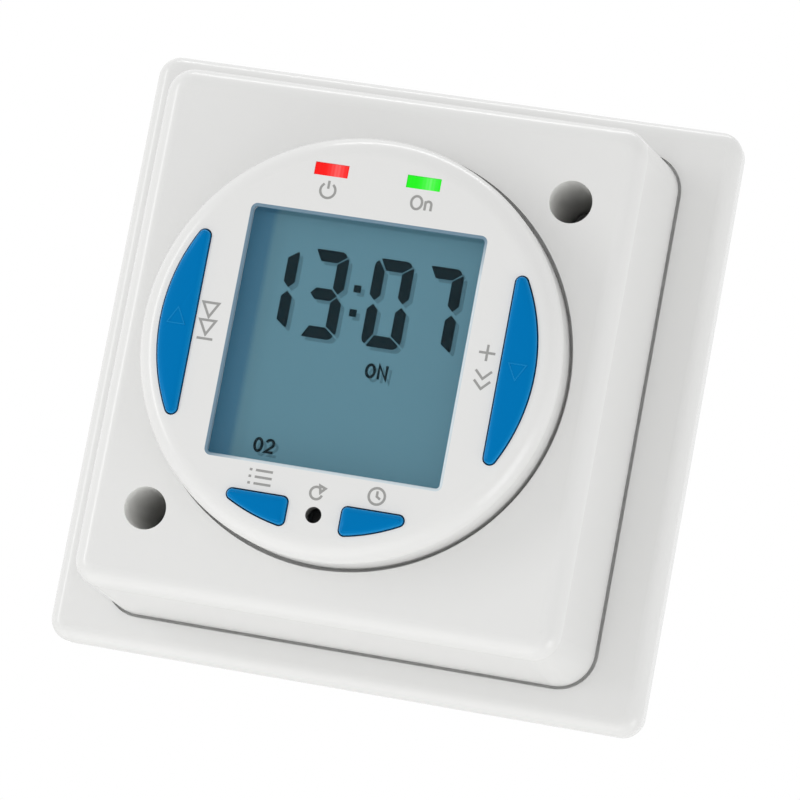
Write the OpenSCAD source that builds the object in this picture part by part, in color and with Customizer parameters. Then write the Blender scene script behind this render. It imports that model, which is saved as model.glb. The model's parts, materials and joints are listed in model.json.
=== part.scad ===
// Timer light switch: a square wall plate with a deep timer body on it.
// Millimetres. X runs to the right, Z up and +Y into the wall.
// The origin is the centre of the plate's wall face. Heights below are
// measured out from the wall, so a height h lies at y = -h.

/* [Wall plate] */
// Width and height of the square wall plate
plate_size = 86; // [84:0.5:92]
// Thickness of the wall plate
plate_t = 5; // [4.6:0.1:7]
// Corner radius of the plate, seen from the front
plate_corner_r = 3.2; // [2.8:0.1:6]
// Radius round the front edge of the plate
plate_edge_r = 2.2; // [1:0.1:2.6]
// Thickness of the front skin of the plate
plate_skin = 2.4; // [2:0.1:3]
// Thickness of the rim behind the plate
plate_rim = 2.2; // [1.6:0.1:3]
// Thickness of the stiffening ribs behind the plate
rib_t = 1.2; // [0.8:0.1:2]
// Gap from the rim to the stiffening rib
rib_inset = 4; // [3:0.5:5]
// Height of the raised pad that the body sits on
pad_rise = 0.5; // [0.3:0.1:0.8]
// How far the pad lies inside the outline of the body
pad_inset = 1.6; // [1:0.1:3]
// Width of the shadow groove in the plate, outside the foot of the body
groove_w = 0.4; // [0.2:0.05:0.6]
// Depth of the shadow groove
groove_depth = 1.4; // [0.6:0.1:1.5]
// Distance between the two wall box screws
box_pitch = 60.3; // [59:0.1:61]
// Diameter of the wall box screw holes
box_hole_d = 4; // [3.6:0.1:4.5]
// Diameter of the countersinks for the wall box screws
box_sink_d = 7.4; // [6:0.1:8]
// Depth of the countersinks for the wall box screws
box_sink_depth = 1.9; // [1:0.1:2.4]

/* [Timer body] */
// Width of the timer body at its foot
body_w = 70.6; // [70:0.1:76]
// Height of the timer body at its foot
body_h = 75.6; // [74:0.1:80]
// How far each side of the body leans in from its foot to its face
body_draft = 1.5; // [0.6:0.1:1.6]
// Depth of the timer body, from the pad to its face
body_depth = 23.5; // [23:0.1:30]
// Corner radius of the body, seen from the front
body_corner_r = 5.1; // [5.1:0.1:9]
// Radius round the front edge of the body
body_edge_r = 2.7; // [1:0.1:3]
// Thickness of the side walls of the body at the foot
body_wall = 2.9; // [2.6:0.1:3.2]
// Thickness of the face of the body
body_skin = 2.2; // [1.8:0.1:3]
// Thickness of the cover that closes the back of the body
cover_t = 2; // [1.6:0.1:3]
// Offset of the two screw wells from the centre, along X and along Z
well_offset = 25.05; // [24.8:0.05:26]
// Diameter of the screw wells
well_d = 5.9; // [5.6:0.1:6.4]
// Wall of the screw wells
well_wall = 1.3; // [1:0.1:1.6]
// Thickness of the floor of the screw wells
well_floor = 2.5; // [2:0.1:4]

/* [Dial] */
// Diameter of the round dial bezel
dial_d = 57.8; // [57.4:0.1:58.4]
// Gap between the dial bezel and the hole in the body
dial_gap = 0.55; // [0.2:0.05:0.6]
// Height of the dial bezel over the face of the body
dial_rise = 7.5; // [7:0.1:9]
// Radius round the front edge of the dial bezel
dial_edge_r = 3; // [1:0.1:3.4]
// Thickness of the front of the dial bezel
dial_skin = 2; // [1.6:0.1:2.4]
// Thickness of the side wall of the dial bezel
dial_wall = 2; // [1.6:0.1:2]
// Thickness of the flange behind the face of the body
dial_flange_t = 1.5; // [1:0.1:2]
// Width of the flange behind the face of the body
dial_flange_w = 1.7; // [1:0.1:1.9]

/* [Display] */
// Width of the display window
window_w = 32.8; // [30:0.1:33]
// Height of the display window
window_h = 34.7; // [30:0.1:35]
// Corner radius of the display window
window_r = 0.9; // [0.4:0.1:2]
// How far the clear lens lies under the front of the dial
lens_sink = 0.3; // [0.1:0.05:0.6]
// Thickness of the flange round the clear lens
lens_flange_t = 0.8; // [0.5:0.1:1]
// How far the display reaches past the window
lens_lap = 0.6; // [0.4:0.1:0.7]
// Thickness of the liquid crystal cell
cell_t = 2.2; // [1.6:0.1:2.4]
// Thickness of the light guide
guide_t = 2.4; // [1.5:0.1:2.5]
// Wall of the frame that holds the display
frame_wall = 1; // [0.8:0.1:1.2]
// Depth from the back of the dial's front to the display board
stack_depth = 6.1; // [6:0.1:7]

/* [Buttons] */
// Distance of the straight edge of the side buttons from the centre
side_edge_x = 21.2; // [21:0.1:21.6]
// Radius of the curved edge of the side buttons
side_arc_r = 25.8; // [25.4:0.1:25.9]
// Radius of the tips of the side buttons
side_tip_r = 0.8; // [0.5:0.1:1]
// Distance of the inner end of the small buttons from the middle
small_end_x = 3.8; // [3.6:0.1:4.2]
// Distance of the straight edge of the small buttons below the centre
small_edge_z = 21.3; // [21.2:0.1:21.6]
// Radius of the curved edge of the small buttons
small_arc_r = 25.5; // [25.3:0.1:25.7]
// Radius of the corners of the small buttons
small_tip_r = 0.7; // [0.4:0.1:0.9]
// How far the buttons stand out of the dial
button_proud = 0.7; // [0.3:0.1:1.2]
// Gap between a button and its hole
button_gap = 0.2; // [0.15:0.05:0.25]
// How far the flange of a button reaches past the button
button_lap = 0.7; // [0.5:0.1:0.7]
// Thickness of the flange of a button
button_flange_t = 1; // [0.6:0.1:1.1]
// Travel of a button when it is pressed
button_travel = 0.6; // [0.3:0.05:0.7]
// Diameter of the reset pin hole
reset_d = 2.2; // [1.6:0.1:2.4]
// Distance of the reset pin hole below the centre
reset_z = 23.05; // [22.9:0.05:23.3]

/* [Lamps] */
// Width of the lamp windows
lamp_w = 4.7; // [3:0.1:5]
// Height of the lamp windows
lamp_h = 1.75; // [1.2:0.05:1.9]
// Distance of the lamp windows from the middle
lamp_x = 6.4; // [5:0.1:6.6]
// Distance of the lamp windows above the centre
lamp_z = 23.25; // [23:0.05:23.4]

/* [Boards] */
// Thickness of the circuit boards
board_t = 1.6; // [1:0.1:1.6]
// Width of the power board
power_w = 61; // [60:0.5:63]
// Height of the power board
power_h = 39; // [38:0.5:39.4]
// Height of the posts that carry the power board
post_rise = 1.5; // [1:0.1:1.5]
// Size of the push switches on the display board
switch_size = 4.2; // [3.6:0.1:4.2]
// Height of the push switches on the display board
switch_h = 3; // [2.6:0.1:3.2]
// Diameter of the plungers of the push switches
plunger_d = 2.2; // [1.6:0.1:2.6]
// How far a plunger stands out of its switch
plunger_out = 1; // [0.9:0.1:1.2]
// Number of pins of the plug between the boards
link_pins = 8; // [4:1:8]
// Pitch of the pins of the plug between the boards
link_pitch = 2.54; // [2:0.02:2.54]

/* [Terminals] */
// Number of terminals
terminal_n = 4; // [2:1:4]
// Pitch of the terminals
terminal_pitch = 9.2; // [8.8:0.1:9.4]
// Width of a terminal block
cage_w = 7.6; // [7:0.1:7.8]
// Length of a terminal block
cage_l = 13; // [12.5:0.1:14]
// Thickness of a terminal block
cage_t = 10; // [9.5:0.1:11]
// Diameter of the wire holes
wire_d = 4; // [3:0.1:4.2]
// Depth of the wire holes
wire_depth = 8.8; // [7:0.1:9]
// Diameter of the terminal screws
terminal_screw_d = 3; // [2.5:0.1:3.2]
// Width of the housing behind the plate
housing_w = 40; // [39.6:0.1:41.5]
// Height of the housing behind the plate
housing_h = 54; // [52:0.5:58]
// Depth of the housing behind the wall face
housing_depth = 15; // [14.5:0.5:22]
// Wall of the housing
housing_wall = 2; // [1.6:0.1:2]
// Thickness of the contact blades
blade_t = 0.8; // [0.6:0.1:1]
// Width of the contact blades
blade_w = 3; // [2:0.1:3]

/* [Relay] */
// Length of the relay
relay_l = 19; // [18.5:0.1:20]
// Width of the relay
relay_w = 15.5; // [14.5:0.1:15.5]
// Height of the relay
relay_h = 14; // [13.8:0.1:14.2]
// Wall of the relay cover
relay_wall = 0.8; // [0.5:0.1:0.9]
// Radius of the relay coil
coil_r = 4.4; // [3.5:0.1:4.6]

/* [Fasteners] */
// Diameter of the two long screws that hold the body
body_screw_d = 3.5; // [3:0.1:3.5]
// Diameter of the heads of the long screws
body_head_d = 5.2; // [4.8:0.1:5.4]
// Height of the heads of the long screws
body_head_h = 2.4; // [1.6:0.1:3]
// Diameter of the small plastic screws
small_screw_d = 1.8; // [1.5:0.1:2]
// Diameter of the heads of the small screws
small_head_d = 3.4; // [3:0.1:3.6]
// Height of the heads of the small screws
small_head_h = 1.1; // [0.8:0.1:1.1]

/* [Hidden] */
$fn = 96;

// Overlap that joins the features of one solid
weld = 0.2;
// Clearance of screws in their threads and pins in their holes
thread_gap = 0.05;
// Clearance of pieces that drop into a seat
seat_gap = 0.15;
// Clearance of the back cover in the body
cover_gap = 0.2;
// Length by which a cutting shape runs past the face that it cuts
past = 1;

// Heights of the main faces, out from the wall
pad_top = plate_t + pad_rise;
skin_back = plate_t - plate_skin;
body_face = pad_top + body_depth;
body_under = body_face - body_skin;
cover_top = pad_top + cover_t;
dial_face = body_face + dial_rise;
dial_under = dial_face - dial_skin;
lens_back = dial_under - lens_flange_t;
board_front = dial_under - stack_depth;
board_back = board_front - board_t;
power_back = cover_top + post_rise;
power_front = power_back + board_t;
housing_back = -housing_depth;

// Radii of the dial
dial_r = dial_d / 2;
flange_h = body_under - dial_flange_t;
opening_r = dial_r + dial_gap;
dial_inner_r = dial_r - dial_wall;
flange_r = dial_r + dial_flange_w;
board_r = dial_inner_r - 2 * button_gap;

// Inside of the timer body and the pad under it
inner_w = body_w - 2 * body_wall;
inner_h = body_h - 2 * body_wall;
inner_r = body_corner_r - body_wall;
pad_r = body_corner_r - pad_inset;

// The groove starts halfway between the pad and the foot of the body
groove_in = pad_inset / 2;

// The two wells, on the rising diagonal, and the two stakes, on the other
wells = [[well_offset, well_offset], [-well_offset, -well_offset]];
well_tube_r = well_d / 2 + well_wall;
well_seat = pad_top + well_floor;
stake_out = 5.0411;
stake_offset = (dial_r + stake_out) / sqrt(2);
stakes = [[-stake_offset, stake_offset], [stake_offset, -stake_offset]];
stake_r = 1;
stake_head_r = 1.9;
stake_head_h = 0.8;
ear_r = 3.2;
cover_boss_r = 2.8;
cover_boss_inset = 0.7;
cover_points = [for (s = [-1, 1]) [
    s * (inner_w / 2 - cover_boss_inset - cover_boss_r),
    -s * (inner_h / 2 - cover_boss_inset - cover_boss_r)
]];
cover_screw_l = 7;

// Threaded inserts and bosses of the plate
insert_wall = 1;
insert_r = body_screw_d / 2 + thread_gap + insert_wall;
insert_boss_r = insert_r + 1.3;
insert_floor = 0.6;
box_boss_r = box_sink_d / 2 + 1.2;

// Housing flange and its screws
housing_flange_t = 2;
housing_flange_w = 6.5;
housing_flange_r = 3;
housing_corner_r = 2;
partition_t = 1;
housing_inner_w = housing_w - 2 * housing_wall;
housing_inner_h = housing_h - 2 * housing_wall;
housing_inner_back = housing_back + housing_wall;
housing_screw_x = 14;
housing_screw_z = housing_h / 2 + housing_flange_w / 2;
housing_boss_r = 2.6;
housing_points = [for (x = [-1, 1], z = [-1, 1]) [x * housing_screw_x, z * housing_screw_z]];
housing_screw_l = 4;

// Terminals in a row along the foot of the housing
terminal_x = [for (i = [0 : terminal_n - 1]) (i - (terminal_n - 1) / 2) * terminal_pitch];
cage_front = housing_inner_back + cage_t;
cage_foot = -housing_inner_h / 2 + seat_gap;
cage_top = cage_foot + cage_l;
wire_rise = 6.5;
wire_h = housing_inner_back + wire_rise;
wire_mid_z = cage_foot + wire_depth / 2;
blade_inset = 2;
blade_z = cage_top - blade_inset;
blade_depth = 5.5;
blade_tip = cage_front - blade_depth;
blade_tail = 0.8;
blade_play = 0.6;
terminal_head_lap = 0.9;
terminal_head_d = terminal_screw_d + 2 * terminal_head_lap;
terminal_head_h = housing_wall - 0.2;

// Display pieces
window_clear = 0.1;
cell_w = window_w + 2 * lens_lap;
cell_h = window_h + 2 * lens_lap + 1;
cell_top = lens_back - seat_gap;
cell_back = cell_top - cell_t;
frame_w = cell_w + 2 * (seat_gap + frame_wall);
frame_h = cell_h + 2 * (seat_gap + frame_wall);
frame_r = 2;
guide_back = board_front;
strip_t = 1.6;
strip_end = 2;
strip_l = cell_w - 2 * strip_end;
strip_z = cell_h / 2 - strip_t / 2;
guide_side = 1.7;
guide_w = cell_w - 2 * guide_side;
guide_end = 0.5;
guide_h = cell_h - 2 * (strip_t + guide_end);
led_block = [1, 3, 1.8];
backlight_x = -(guide_w / 2 + seat_gap + led_block[0] / 2);

// Board posts inside the dial, clear of the display frame and of the side buttons
dial_post_r = 1.6;
dial_post_x = frame_w / 2 + dial_post_r + 0.25;
side_tip_z = sqrt(pow(side_arc_r - side_tip_r, 2) - pow(side_edge_x + side_tip_r, 2));
dial_post_z = side_tip_z + side_tip_r + button_lap + dial_post_r + 0.2;
dial_posts = [for (x = [-1, 1], z = [-1, 1]) [x * dial_post_x, z * dial_post_z]];
board_screw_l = 4.4;

// Places of the push switches, and heights of their plungers
side_mid_x = (side_edge_x + side_arc_r) / 2;
small_switch_x = small_end_x + 2.8;
small_switch_z = small_edge_z + 1.3;
override_at = [-side_mid_x, 0];
boost_at = [side_mid_x, 0];
program_at = [-small_switch_x, -small_switch_z];
time_at = [small_switch_x, -small_switch_z];
reset_at = [0, -reset_z];
switch_top = board_front + switch_h;
plunger_top = switch_top + plunger_out;
plunger_foot = switch_top - 1;
plunger_gap = 0.1;
plunger_room = button_travel + 0.4;
button_seat = dial_under - seat_gap;
button_foot = button_seat - button_flange_t;
stem_r = 1.5;

// Lamps
lamp_flange = 0.6;
lamp_tail = 3.2;
led_size = [3, 2];
led_h = 1.2;
led_dome_r = 0.8;

// Pieces behind the display board
chip_at = [-9, -8];
chip_size = 12;
chip_t = 1.2;
chip_lead = 1;
crystal_at = [2.5, -9];
crystal_r = 1;
crystal_l = 6;
battery_at = [13, -3];
battery_r = 7.75;
battery_t = 5.6;
tab_t = 0.3;
link_at = [0, -17.6];
link_w = 2.5;
link_l = link_pins * link_pitch;
link_socket_h = 8.5;
link_base_h = 2.5;
link_pin = 0.64;

// Pieces on the power board
power_hole_inset = 2.5;
power_points = [for (x = [-1, 1], z = [-1, 1]) [
    x * (power_w / 2 - power_hole_inset), z * (power_h / 2 - power_hole_inset)
]];
power_post_r = 2.2;
power_screw_l = board_t + post_rise + cover_t - 0.6;
relay_at = [-14, 8];
film_at = [8, 14];
film_size = [18, 8.5, 14];
can_at = [24.5, 5];
can_r = 5;
can_h = 12;
disc_at = [-26, -8];
disc_r = 5;
disc_t = 4;
bridge_at = [10, -2];
bridge_size = [8.5, 6.5, 3.2];
fuse_at = [-12, -6];
fuse_r = 2;
fuse_l = 11;
lead_r = 0.35;

// Inside of the relay
relay_base_t = 1.6;
relay_floor = power_front + relay_base_t;
relay_yoke_t = 1.2;
relay_pivot_inset = 1.6;
relay_pivot_x = relay_at[0] - relay_l / 2 + relay_wall + relay_pivot_inset;
relay_coil_gap = 0.9;
relay_coil_x = relay_pivot_x + relay_yoke_t / 2 + coil_r + relay_coil_gap;
relay_headroom = 2.8;
relay_core_top = power_front + relay_h - relay_wall - relay_headroom;
relay_air_gap = 0.7;
relay_arm_back = relay_core_top + relay_air_gap;
relay_arm_t = 0.8;
relay_bead_r = 0.4;
relay_pivot_h = relay_arm_back - thread_gap;
relay_heel = 1;
relay_arm_w = 9;
relay_arm_over = 2.2;
relay_arm_l = coil_r * 2 + relay_arm_over;
relay_leaf_t = 0.25;
relay_leaf_w = 5;
relay_tip_out = 2.6;
relay_tip_x = relay_pivot_x + relay_arm_l + relay_tip_out;
relay_dot_r = 1;
relay_dot_h = 0.8;
relay_contact_gap = 0.8;

// A plate or bar seen from the front, between two heights
module slab(h0, h1) {
    translate([0, -h0, 0]) rotate([90, 0, 0]) linear_extrude(h1 - h0) children();
}

// A round post at a place on the face, between two heights
module peg(at, r, h0, h1) {
    translate([at[0], -h0, at[1]]) rotate([90, 0, 0]) cylinder(r = r, h = h1 - h0);
}

// A square block at a place on the face, between two heights
module block(at, size, h0, h1) {
    slab(h0, h1) translate(at) square([size[0], size[1]], center = true);
}

// A rod along X
module rod_x(at, h, r, l) {
    translate([at[0], -h, at[1]]) rotate([0, 90, 0]) cylinder(r = r, h = l, center = true);
}

// A rod along Z
module rod_z(at, h, r, l) {
    translate([at[0], -h, at[1]]) cylinder(r = r, h = l, center = true);
}

// A turned piece about the middle of the dial, from a profile of radius and height
module turned() {
    rotate([90, 0, 0]) rotate_extrude() children();
}

// A rectangle with round corners
module rounded(w, h, r) {
    square([w - 2 * r, h], center = true);
    square([w, h - 2 * r], center = true);
    for (x = [-1, 1], z = [-1, 1]) translate([x * (w / 2 - r), z * (h / 2 - r)]) circle(r);
}

// Cross-section of a box whose two front edges are rounded. The sides lean in by
// the draft over the whole depth.
module arch(w, d, e, draft = 0) {
    lean = atan2(draft, d);
    cx = w / 2 - e / cos(lean) - (d - e) * tan(lean);
    tx = cx + e * cos(lean);
    ty = d - e + e * sin(lean);
    polygon([[-w / 2, 0], [w / 2, 0], [tx, ty], [cx, d], [-cx, d], [-tx, ty]]);
    for (x = [-1, 1]) translate([x * cx, d - e]) circle(e);
}

// A box with round corners whose front edge is rounded all the way round
module soft_box(w, h, h0, h1, r, e, draft = 0) {
    d = h1 - h0;
    translate([0, -h0, 0]) {
        rotate([0, 0, 180]) linear_extrude(h - 2 * r, center = true) arch(w, d, e, draft);
        rotate([0, 90, 0]) rotate([0, 0, 180]) linear_extrude(w - 2 * r, center = true)
            arch(h, d, e, draft);
        for (x = [-1, 1], z = [-1, 1]) translate([x * (w / 2 - r), 0, z * (h / 2 - r)])
            rotate([90, 0, 0]) rotate_extrude() intersection() {
                arch(2 * r, d, e, draft);
                square([r, d]);
            }
    }
}

// Outline of a side button: an arc about the centre closed by an upright straight
// edge, with round tips. Growing all three sizes by a gap offsets the outline.
module side_outline(gap) {
    edge = side_edge_x - gap;
    arc = side_arc_r + gap;
    tip = side_tip_r + gap;
    reach = arc / (arc - tip);
    tx = reach * (edge + tip);
    tz = reach * side_tip_z;
    intersection() {
        circle(arc);
        polygon([[edge, -side_tip_z], [edge, side_tip_z], [tx, tz], [arc * arc / tx + past, 0],
            [tx, -tz]]);
    }
    for (s = [-1, 1]) translate([edge + tip, s * side_tip_z]) circle(tip);
}

// Outline of a small button: a level top edge and an upright end, closed by an arc
module small_outline(gap) {
    end = small_end_x - gap;
    top = small_edge_z - gap;
    arc = small_arc_r + gap;
    tip = small_tip_r + gap;
    reach = arc / (arc - tip);
    foot = [end + tip, -sqrt(pow(arc - tip, 2) - pow(end + tip, 2))];
    nose = [sqrt(pow(arc - tip, 2) - pow(top + tip, 2)), -top - tip];
    intersection() {
        circle(arc);
        polygon([[end, foot[1]], [end, -top - tip], [end + tip, -top], [nose[0], -top],
            reach * nose, 0.6 * arc / (arc - tip) * (nose + foot), reach * foot]);
    }
    for (at = [[end + tip, -top - tip], foot, nose]) translate(at) circle(tip);
}

// A button outline on the left is the one on the right, mirrored
module on_left() {
    mirror([1, 0]) children();
}

// A small screw, head at the back, threaded towards the front
module small_screw(at, seat, length) {
    difference() {
        union() {
            peg(at, small_head_d / 2, seat - small_head_h, seat);
            peg(at, small_screw_d / 2, seat - weld, seat + length);
        }
        block(at, [small_head_d * 0.7, 0.5], seat - small_head_h - past, seat - small_head_h / 2);
    }
}

// Hole for the thread of a small screw
module small_pilot(at, seat, length) {
    peg(at, small_screw_d / 2 + thread_gap, seat - past, seat + length + 2 * thread_gap);
}

// Hole for the shank of a small screw
module small_clear(at, h0, h1) {
    peg(at, small_screw_d / 2 + seat_gap, h0 - past, h1 + past);
}

module wall_plate() {
    color("whitesmoke") difference() {
        union() {
            difference() {
                soft_box(plate_size, plate_size, 0, plate_t, plate_corner_r, plate_edge_r);
                slab(-past, skin_back)
                    rounded(plate_size - 2 * plate_rim, plate_size - 2 * plate_rim, plate_rim);
            }
            slab(plate_t - weld, pad_top)
                rounded(body_w - 2 * pad_inset, body_h - 2 * pad_inset, pad_r);
            rib_out = plate_size - 2 * (plate_rim + rib_inset);
            slab(skin_back / 2, skin_back + weld) difference() {
                square(rib_out, center = true);
                square(rib_out - 2 * rib_t, center = true);
            }
            for (s = [-1, 1]) peg([s * box_pitch / 2, 0], box_boss_r, 0, skin_back + weld);
            for (at = wells) peg(at, insert_boss_r, 0, skin_back + weld);
            for (at = housing_points) peg(at, housing_boss_r, housing_flange_t, skin_back + weld);
        }
        slab(plate_t - groove_depth, plate_t + past) difference() {
            rounded(body_w + 2 * groove_w, body_h + 2 * groove_w, body_corner_r + groove_w);
            rounded(body_w - 2 * groove_in, body_h - 2 * groove_in, body_corner_r - groove_in);
        }
        for (s = [-1, 1]) {
            at = [s * box_pitch / 2, 0];
            peg(at, box_hole_d / 2, -past, pad_top + past);
            translate([at[0], box_sink_depth - pad_top, 0]) rotate([90, 0, 0])
                cylinder(r1 = box_hole_d / 2, r2 = box_sink_d / 2, h = box_sink_depth);
        }
        for (at = wells) {
            peg(at, insert_r, -past, pad_top - insert_floor);
            peg(at, body_screw_d / 2 + seat_gap, 0, pad_top + past);
        }
        for (at = housing_points) small_pilot(at, housing_flange_t, housing_screw_l - housing_flange_t);
        for (x = terminal_x) block([x, blade_z], [blade_t + 2 * blade_play, blade_w + 2 * blade_play],
            0, pad_top + past);
    }
}

module plate_inserts() {
    color("goldenrod") for (at = wells) difference() {
        peg(at, insert_r - thread_gap, 0, pad_top - insert_floor);
        peg(at, body_screw_d / 2 + thread_gap, -past, pad_top);
    }
}

module terminal_housing() {
    color("gainsboro") difference() {
        union() {
            difference() {
                union() {
                    slab(0, housing_flange_t) rounded(housing_w, housing_h + 2 * housing_flange_w,
                        housing_flange_r);
                    slab(housing_back, housing_flange_t) rounded(housing_w, housing_h, housing_corner_r);
                }
                slab(housing_inner_back, housing_flange_t + past)
                    rounded(housing_inner_w, housing_inner_h, 1);
            }
            for (i = [1 : terminal_n - 1]) block(
                [(i - terminal_n / 2) * terminal_pitch, (cage_foot + cage_top) / 2],
                [partition_t, cage_l + 2 * seat_gap], housing_inner_back - weld, cage_front);
        }
        for (x = terminal_x) {
            peg([x, wire_mid_z], terminal_head_d / 2 + 2 * seat_gap, housing_back - past,
                housing_inner_back + weld);
            rod_z([x, -housing_h / 2], wire_h, wire_d / 2 + 2 * seat_gap, 2 * housing_wall + past);
        }
        for (at = housing_points) small_clear(at, 0, housing_flange_t);
        for (at = wells) peg(at, insert_boss_r + seat_gap, -seat_gap, housing_flange_t + past);
    }
}

module housing_screws() {
    color("silver") for (at = housing_points) small_screw(at, 0, housing_screw_l);
}

module terminal_cages() {
    color("goldenrod") for (x = terminal_x) difference() {
        block([x, (cage_foot + cage_top) / 2], [cage_w, cage_l], housing_inner_back, cage_front);
        rod_z([x, wire_mid_z - past / 2], wire_h, wire_d / 2, wire_depth + past);
        peg([x, wire_mid_z], terminal_screw_d / 2 + thread_gap, housing_inner_back - past, wire_h);
        block([x, blade_z], [blade_t + 2 * thread_gap, blade_w + 2 * thread_gap],
            blade_tip - 2 * thread_gap, cage_front + past);
    }
}

module terminal_screws() {
    color("silver") for (x = terminal_x) {
        at = [x, wire_mid_z];
        difference() {
            union() {
                peg(at, terminal_head_d / 2, housing_inner_back - terminal_head_h,
                    housing_inner_back - thread_gap);
                peg(at, terminal_screw_d / 2, housing_inner_back - terminal_head_h / 2,
                    wire_h - wire_d / 2);
            }
            block(at, [terminal_head_d + past, 0.8], housing_inner_back - terminal_head_h - past,
                housing_inner_back - terminal_head_h / 2);
        }
    }
}

module front_body() {
    color("whitesmoke") difference() {
        union() {
            difference() {
                soft_box(body_w, body_h, pad_top, body_face, body_corner_r, body_edge_r, body_draft);
                slab(pad_top - past, body_under) rounded(inner_w, inner_h, inner_r);
            }
            for (at = wells) peg(at, well_tube_r, pad_top, body_under + weld);
            for (at = cover_points) peg(at, cover_boss_r, cover_top, body_under + weld);
            for (at = stakes) {
                peg(at, stake_r, flange_h - seat_gap - weld, body_under + weld);
                peg(at, stake_head_r, flange_h - seat_gap - stake_head_h, flange_h - seat_gap);
            }
        }
        slab(body_under - past, body_face + past) circle(opening_r);
        for (at = wells) {
            peg(at, well_d / 2, well_seat, body_face + past);
            peg(at, body_screw_d / 2 + seat_gap, pad_top - past, well_seat + past);
        }
        for (at = cover_points) small_pilot(at, cover_top, cover_screw_l - cover_t);
    }
}

module back_cover() {
    color("gainsboro") difference() {
        union() {
            slab(pad_top, cover_top)
                rounded(inner_w - 2 * cover_gap, inner_h - 2 * cover_gap, inner_r - cover_gap);
            for (at = power_points) peg(at, power_post_r, cover_top - weld, power_back);
        }
        for (at = wells) peg(at, well_tube_r + seat_gap, pad_top - past, cover_top + past);
        for (at = cover_points) {
            small_clear(at, pad_top, cover_top);
            peg(at, small_head_d / 2 + seat_gap, pad_top - past, pad_top + small_head_h + seat_gap);
        }
        for (at = power_points) peg(at, small_screw_d / 2 + thread_gap,
            power_front - power_screw_l - 2 * thread_gap, power_front);
        for (x = terminal_x) block([x, blade_z], [blade_t + 2 * blade_play, blade_w + 2 * blade_play],
            pad_top - past, cover_top + past);
    }
}

module cover_screws() {
    color("silver") for (at = cover_points)
        small_screw(at, pad_top + small_head_h + seat_gap, cover_screw_l - small_head_h - 2 * seat_gap);
}

module body_screws() {
    color("silver") for (at = wells) difference() {
        union() {
            peg(at, body_head_d / 2, well_seat, well_seat + body_head_h);
            peg(at, body_screw_d / 2, plate_t / 4, well_seat + weld);
        }
        for (turn = [0, 90]) translate([at[0], 0, at[1]]) rotate([0, turn, 0])
            block([0, 0], [body_head_d * 0.62, 0.9], well_seat + body_head_h / 2,
                well_seat + body_head_h + past);
    }
}

module dial_bezel() {
    color("whitesmoke") difference() {
        union() {
            turned() difference() {
                intersection() {
                    translate([0, flange_h]) arch(dial_d, dial_face - flange_h, dial_edge_r);
                    translate([0, flange_h]) square([dial_r, dial_face]);
                }
                square([dial_inner_r, dial_under]);
            }
            slab(flange_h, body_under) difference() {
                union() {
                    circle(flange_r);
                    for (at = stakes) translate(at) circle(ear_r);
                    for (at = stakes) rotate(atan2(at[1], at[0]))
                        translate([norm(at) / 2, -ear_r]) square([norm(at) / 2, 2 * ear_r]);
                }
                circle(dial_inner_r);
                for (at = wells) translate(at) circle(well_tube_r + seat_gap);
            }
            for (at = dial_posts) intersection() {
                peg(at, dial_post_r, board_front, dial_under + weld);
                peg([0, 0], dial_r - dial_wall / 2, board_front, dial_face);
            }
        }
        slab(dial_under - past, dial_face + past) {
            rounded(window_w, window_h, window_r);
            side_outline(button_gap);
            on_left() side_outline(button_gap);
            small_outline(button_gap);
            on_left() small_outline(button_gap);
            translate(reset_at) circle(reset_d / 2);
            for (s = [-1, 1]) translate([s * lamp_x, lamp_z]) square([lamp_w, lamp_h], center = true);
        }
        for (at = dial_posts) small_pilot(at, board_front, board_screw_l - board_t);
        for (at = stakes) peg(at, stake_r + thread_gap, flange_h - past, body_under + past);
    }
}

module lcd_lens() {
    color("lightcyan") union() {
        slab(dial_under - weld, dial_face - lens_sink) rounded(window_w - 2 * window_clear,
            window_h - 2 * window_clear, window_r - window_clear);
        slab(lens_back, dial_under)
            rounded(frame_w - 2 * seat_gap, frame_h - 2 * seat_gap, frame_r);
    }
}

module lcd_cell() {
    color("cadetblue") union() {
        slab(cell_back, (cell_back + cell_top) / 2) square([cell_w, cell_h], center = true);
        slab((cell_back + cell_top) / 2 - weld, cell_top)
            square([cell_w, cell_h - 2 * strip_t], center = true);
    }
}

module lcd_frame() {
    color("white") difference() {
        slab(board_front, lens_back) rounded(frame_w, frame_h, frame_r);
        slab(board_front - past, lens_back + past)
            square([cell_w + 2 * seat_gap, cell_h + 2 * seat_gap], center = true);
    }
}

module light_guide() {
    color("azure") block([0, 0], [guide_w, guide_h], guide_back, guide_back + guide_t);
}

module backlight_leds() {
    color("ivory") for (z = [-guide_h / 4, guide_h / 4])
        block([backlight_x, z], led_block, board_front, board_front + led_block[2]);
}

module contact_strips() {
    color("dimgray") for (s = [-1, 1])
        block([0, s * strip_z], [strip_l, strip_t], board_front, cell_back);
}

module display_board() {
    color("seagreen") difference() {
        slab(board_back, board_front) circle(board_r);
        for (at = dial_posts) small_clear(at, board_back, board_front);
        for (i = [0 : link_pins - 1])
            block(link_at + [(i - (link_pins - 1) / 2) * link_pitch, 0], [link_pin + 0.2, link_pin + 0.2],
                board_back - past, board_front + past);
    }
}

module board_screws() {
    color("silver") for (at = dial_posts) small_screw(at, board_back, board_screw_l);
}

// A button: cap, retaining flange and the stem that presses the switch
module button(at) {
    color("dodgerblue") union() {
        slab(button_seat - weld, dial_face + button_proud) children(0);
        slab(button_foot, button_seat) children(1);
        peg(at, stem_r, plunger_top, button_foot + weld);
    }
}

module override_button() {
    button(override_at) {
        on_left() side_outline(0);
        on_left() side_outline(button_lap);
    }
}

module boost_button() {
    button(boost_at) {
        side_outline(0);
        side_outline(button_lap);
    }
}

module program_button() {
    button(program_at) {
        on_left() small_outline(0);
        on_left() small_outline(button_lap);
    }
}

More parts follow.
